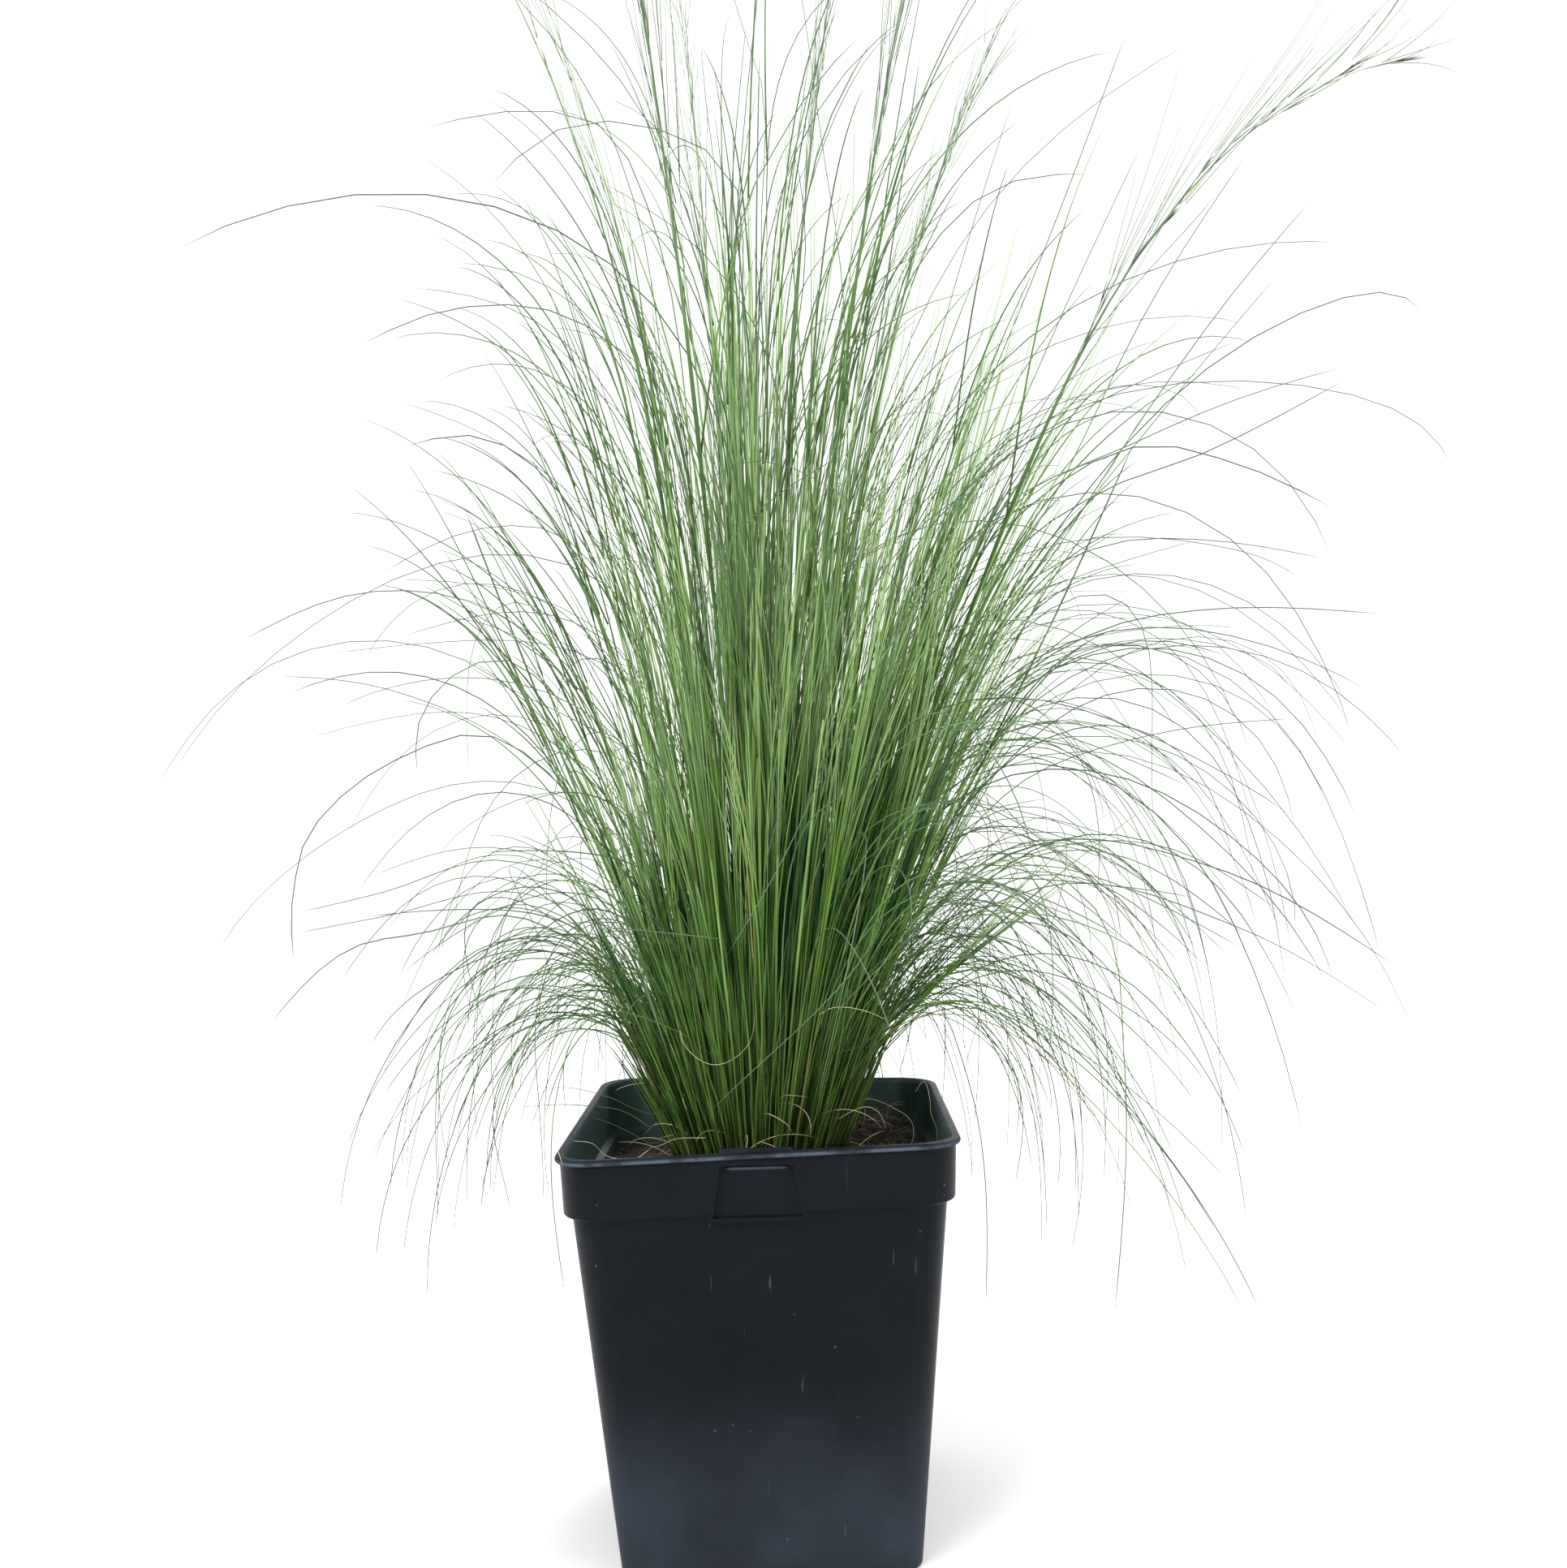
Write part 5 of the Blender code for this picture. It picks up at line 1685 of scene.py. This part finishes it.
def build_florets(branches, is_dark, rng):
    """Spikelets on the branches, and the awn that grows from each one's tip."""
    spots = []
    for branch in branches:
        for _ in range(SPIKELETS_ON_BRANCH):
            spots.append(point_along(branch, rng.uniform(0.55, 1.0)))
    starts, ways = zip(*spots)
    count = len(starts)
    headings, leans = heading_and_lean(np.array(ways))
    headings = headings + rng.normal(0, 7, count)
    leans = leans + rng.normal(0.5, 3, count)
    florets = bend_paths(
        np.array(starts), headings, leans, leans + 4, np.ones(count),
        between(rng, FLORET_LENGTH, count), FLORET_MASTER["rings"], np.zeros(count))
    kinds = rng.uniform(0.3, 0.9, count)
    if is_dark:
        kinds = np.where(rng.random(count) < DARK_SHARE, DARK_KIND, kinds)
    half_width = DARK_FLORET_HALF_WIDTH if is_dark else FLORET_HALF_WIDTH
    widths = np.full((count, 1), half_width) * FLORET_SWELL[None, :]
    floret_part = lay_strands(FLORET_MASTER, florets, widths, kinds, np.zeros(count))
    awn_leans = leans + rng.normal(0, 3, count)
    awns = draw_in(bend_paths(
        florets[:, -1], headings + rng.normal(0, 8, count), awn_leans,
        awn_leans + rng.uniform(-6, 14, count), np.ones(count), between(rng, AWN_LENGTH, count),
        AWN_MASTER["rings"], rng.normal(0, 24, count)))
    awn_part = lay_strands(
        AWN_MASTER, awns, taper(np.full(count, AWN_HALF_WIDTH), AWN_MASTER["rings"], 0.5),
        rng.uniform(0.6, 0.9, count), np.zeros(count))
    return floret_part, awn_part


def build_flower_stem(number, stem):
    """A culm with its leaves and its feathery head."""
    rng = np.random.default_rng(FLOWER_SEED + number)
    is_dark = number == DARK_STEM
    culm, path = build_culm(stem)
    flag_leaves = build_flag_leaves(path, rng)
    branches, branch_paths = build_branches(
        path, stem[-1], DARK_STEM_BRANCHES if is_dark else 1.0, rng)
    florets, awns = build_florets(branch_paths, is_dark, rng)
    return join_strands(
        f"flower_head_{number:02d}", [culm, flag_leaves, branches, florets, awns],
        [sheath_green, leaf_green, flower_green], [0, 1, 2, 2, 2])


for number, stem in enumerate(FLOWER_STEMS, start=1):
    flower = add_piece(
        build_flower_stem(number, stem), "flower_stem_green", f"flower_stem_{number:02d}")
print("flower stems:", len(FLOWER_STEMS), "the last with", len(flower.data.polygons), "faces")

# %% [markdown]
# ## Dead leaves and rootlets
#
# Pale dead leaves curl on the soil and over the rim, a few green ones lie over the rim at the left,
# and a mat of brown rootlets has grown up out of the soil, mostly at the right. The ones that can be
# made out in the photo are written down like the long leaves. The others are scattered.

# %% Lay the strands that the photo shows
LAID_SEED = 51
LAID_NARROWING = (0.3, 3.0)
LAID_STRAW_KIND = 0.97
LAID_GREEN_KIND = 0.30
# Each strand: the pixels it passes, its depth at the start and at the end, half width in mm.
LAID_STRAW = [
    ([(684, 1409), (690, 1425), (693, 1436)], -0.078, -0.080, 0.19),
    ([(799, 1417), (783, 1428), (761, 1428), (745, 1423), (738, 1416), (730, 1409), (705, 1406)],
     -0.050, -0.066, 0.18),
    ([(870, 1402), (830, 1404), (812, 1412), (804, 1413), (799, 1417)], -0.040, -0.050, 0.18),
    ([(838, 1270), (845, 1290), (880, 1312), (920, 1290), (930, 1250)], -0.056, -0.060, 0.17),
    ([(1010, 1250), (1025, 1242), (1060, 1244), (1095, 1258)], -0.050, -0.050, 0.18),
    ([(1030, 1380), (1065, 1364), (1074, 1365), (1084, 1372), (1092, 1392)], -0.030, -0.030, 0.19),
    ([(1040, 1370), (1069, 1354), (1091, 1360), (1099, 1364), (1122, 1380), (1126, 1399),
      (1121, 1414)], 0.000, -0.010, 0.20),
    ([(1128, 1345), (1139, 1333), (1146, 1356), (1147, 1371), (1154, 1390), (1155, 1413)],
     0.030, 0.000, 0.19),
]
LAID_GREEN = [
    ([(838, 1395), (804, 1409), (795, 1406), (776, 1395), (761, 1388), (741, 1380), (715, 1375)],
     0.000, 0.008, 0.28),
    ([(835, 1370), (800, 1388), (788, 1380), (776, 1373), (761, 1367), (741, 1364), (690, 1361),
      (635, 1365)], 0.010, 0.030, 0.28),
    ([(850, 1370), (800, 1372), (745, 1350), (690, 1340), (655, 1352)], -0.020, 0.000, 0.22),
]


def laid_route(pixels, near_depth, far_depth):
    """The route of a laid strand through photo pixels between two depths."""
    shares = np.linspace(0.0, 1.0, len(pixels))
    stops = [
        np.array(photo_point(pixel, near_depth + (far_depth - near_depth) * share))
        for pixel, share in zip(pixels, shares)
    ]
    return smooth_route(stops, stops[1] - stops[0], ROUTE_RINGS)


def build_laid(name, strands, kind, materials):
    """Strands laid along their routes in the photo."""
    rng = np.random.default_rng(LAID_SEED)
    points = np.array([laid_route(pixels, near, far) for pixels, near, far, _ in strands])
    half_widths = np.array([millimetres for *_, millimetres in strands]) / 1000
    kinds = np.full(len(strands), kind)
    part = lay_strands(
        ROUTE_MASTER, points, taper(half_widths, ROUTE_RINGS, *LAID_NARROWING), kinds,
        rng.uniform(0, 6, len(strands)))
    return join_strands(name, [part], materials)


add_piece(build_laid("curled_straw", LAID_STRAW, LAID_STRAW_KIND, [dead_straw]), "leaf_green")
add_piece(build_laid("rim_leaves", LAID_GREEN, LAID_GREEN_KIND, [fine_green]), "leaf_green")
print("laid strands:", len(LAID_STRAW), "dead and", len(LAID_GREEN), "green")

# %% [markdown]
# The scattered ones keep to the free soil between the crown and the pot's wall. One tangled cushion
# of rootlets stands up at the back on the right.

# %% Scatter rootlets and dead leaves
LITTER_SEED = 61
ROOTLETS = 260
ROOTLET_LENGTH = (0.010, 0.034)
ROOTLET_HALF_WIDTH = (0.00012, 0.00030)
FEWER_AT_LEFT = 0.35
DEAD_LEAVES = 44
DEAD_LEAF_LENGTH = (0.018, 0.036)
DEAD_LEAF_HALF_WIDTH = (0.00016, 0.00030)
DEAD_LEAF_RADIUS = (0.032, 0.042)
DEAD_LEAF_RISE = 0.035
LITTER_LIMIT = 0.068  # how far from the middle, along x and y, litter may lie
MOUND_ROOTLETS = 300
MOUND_PLACE = (0.047, 0.036)
MOUND_RADIUS = 0.019
MOUND_HEIGHT = 0.021
MOUND_ROOTLET_LENGTH = (0.008, 0.024)


def keep_in_pot(points):
    """Points kept inside the pot's wall and above the soil."""
    kept = points.copy()
    kept[:, :, :2] = kept[:, :, :2].clip(-LITTER_LIMIT, LITTER_LIMIT)
    kept[:, :, 2] = np.maximum(kept[:, :, 2], SOIL_EDGE_Z - 0.001)
    return kept


def mound_rootlets(rng):
    """Points of rootlets that have pushed up out of the soil in one tangled cushion."""
    count = MOUND_ROOTLETS
    turn = rng.uniform(0, 360, count)
    share = np.sqrt(rng.random(count))
    starts = level_directions(turn) * (share * MOUND_RADIUS)[:, None]
    starts[:, :2] += MOUND_PLACE
    starts[:, 2] = SOIL_EDGE_Z + MOUND_HEIGHT * (1.0 - share ** 2) * rng.random(count)
    leans = rng.uniform(10, 100, count)
    return bend_paths(
        starts, rng.uniform(0, 360, count), leans, leans + rng.uniform(20, 110, count),
        rng.uniform(0.6, 1.4, count), between(rng, MOUND_ROOTLET_LENGTH, count),
        AWN_MASTER["rings"], rng.normal(0, 140, count))


def scattered_rootlets(rng):
    """Points of rootlets that lie on the soil, more of them at the right."""
    places = free_soil_places(rng, 3 * ROOTLETS, 0.006)
    chance = np.where(places[:, 0] > 0.0, 1.0, FEWER_AT_LEFT)
    places = places[rng.random(len(places)) < chance][:ROOTLETS]
    count = len(places)
    leans = rng.uniform(20, 85, count)
    lengths = between(rng, ROOTLET_LENGTH, count)
    inward = np.degrees(np.arctan2(-places[:, 1], -places[:, 0])) + rng.uniform(-110, 110, count)
    return bend_paths(
        places, inward, leans, rng.uniform(105, 150, count), rng.uniform(0.5, 1.2, count), lengths,
        AWN_MASTER["rings"], rng.normal(0, 60, count))


def scattered_dead_leaves(rng):
    """Dead leaves that have fallen over at the crown's foot."""
    count = DEAD_LEAVES
    turn = rng.uniform(0, 360, count)
    starts = level_directions(turn) * between(rng, DEAD_LEAF_RADIUS, count)[:, None]
    starts[:, 2] = rng.uniform(SOIL_TOP_Z, SOIL_TOP_Z + DEAD_LEAF_RISE, count)
    leans = rng.uniform(35, 80, count)
    points = bend_paths(
        starts, turn + rng.normal(0, 45, count), leans, leans + rng.uniform(30, 90, count),
        rng.uniform(0.7, 1.6, count), between(rng, DEAD_LEAF_LENGTH, count), LEAF_RINGS,
        rng.normal(0, 70, count))
    widths = taper(between(rng, DEAD_LEAF_HALF_WIDTH, count), LEAF_RINGS)
    return lay_strands(
        LEAF_MASTER, keep_in_pot(points), widths, np.full(count, 0.96), rng.uniform(0, 6, count))


def build_litter():
    """Rootlets and dead leaves scattered over the soil inside the pot."""
    rng = np.random.default_rng(LITTER_SEED)
    lying = scattered_rootlets(rng)
    roots = keep_in_pot(np.concatenate([lying, mound_rootlets(rng)]))
    count = len(roots)
    widths = taper(between(rng, ROOTLET_HALF_WIDTH, count), AWN_MASTER["rings"], 0.4)
    rootlets = lay_strands(AWN_MASTER, roots, widths, rng.uniform(0.35, 0.99, count), np.zeros(count))
    straw = scattered_dead_leaves(rng)
    return join_strands("soil_litter", [rootlets, straw], [crumb_brown, dead_straw], [0, 1])


litter = add_piece(build_litter(), "potting_soil")
print("litter:", len(litter.data.polygons), "faces")

# %% [markdown]
# ## The studio
#
# The plant stands on a plain, nearly white floor that turns up into a wall all round it, and a large
# soft light hangs at the upper left in front. A weaker one at the right keeps the pot's side from
# going black, and a third from behind gives the outer leaves their pale edges.

# %% Floor, light and background
COVE_FLAT = 3.0
COVE_BEND = 1.2
COVE_TOP = 4.0
COVE_BEND_STEPS = 12
COVE_SIDES = 64
WALL_PAINT_FROM = 0.12  # the height above which all of the cove has the wall's paint
# The wall gets less light than the floor, so its paint is paler and both look equally white.
FLOOR_PAINT = linear(218, 218, 218)
WALL_PAINT = linear(240, 240, 240)
bm = bmesh.new()
profile = [(0.0, 0.0), (COVE_FLAT, 0.0)]
for step in range(1, COVE_BEND_STEPS + 1):
    angle = pi / 2 * step / COVE_BEND_STEPS
    profile.append((COVE_FLAT + COVE_BEND * sin(angle), COVE_BEND * (1 - cos(angle))))
profile.append((COVE_FLAT + COVE_BEND, COVE_TOP))
line = [bm.verts.new((x, 0.0, z)) for x, z in profile]
edges = [bm.edges.new(pair) for pair in zip(line, line[1:])]
bmesh.ops.spin(
    bm, geom=line + edges, cent=(0, 0, 0), axis=(0, 0, 1), angle=2 * pi, steps=COVE_SIDES,
    use_merge=True)
bmesh.ops.remove_doubles(bm, verts=bm.verts, dist=1e-5)
bmesh.ops.recalc_face_normals(bm, faces=bm.faces)
cove = object_from(bm, "cove")
cove.data.shade_smooth()
cove_white, tree, shader = new_material("cove_white")
up_the_wall = ease(tree, parts_of(tree, place_on_object(tree))[2], 0.0, WALL_PAINT_FROM)
fill(tree, shader, {
    "Base Color": mix_colour(tree, up_the_wall, FLOOR_PAINT, WALL_PAINT),
    "Roughness": 0.9, "Specular IOR Level": 0.1,
})
cove.data.materials.append(cove_white)

world = bpy.data.worlds.new("studio")
world.use_nodes = True
world.node_tree.nodes["Background"].inputs["Color"].default_value = (1.0, 1.0, 1.0, 1.0)
world.node_tree.nodes["Background"].inputs["Strength"].default_value = 1.5
bpy.context.scene.world = world


def add_light(name, spot, target, size, watts):
    """A square area light at a spot, turned to a target."""
    light = bpy.data.lights.new(name, "AREA")
    light.shape = "SQUARE"
    light.size = size
    light.energy = watts
    item = bpy.data.objects.new(name, light)
    item.location = spot
    item.rotation_euler = (Vector(target) - Vector(spot)).to_track_quat("-Z", "Y").to_euler()
    bpy.context.scene.collection.objects.link(item)


# Each light: its name, its place, the height on the plant that it faces, its size and its power.
LIGHTS = [
    ("key", (-1.3, -1.7, 1.9), 0.3, 1.4, 55),
    ("fill", (1.9, -1.2, 1.0), 0.2, 1.6, 16),
    ("rim", (0.8, 1.9, 1.8), 0.4, 1.2, 35),
]
for name, spot, target_height, size, watts in LIGHTS:
    add_light(name, spot, (0, 0, target_height), size, watts)
bpy.context.scene.view_settings.view_transform = "Standard"
print("cove of", round(2 * (COVE_FLAT + COVE_BEND), 1), "m and", len(LIGHTS), "lights")
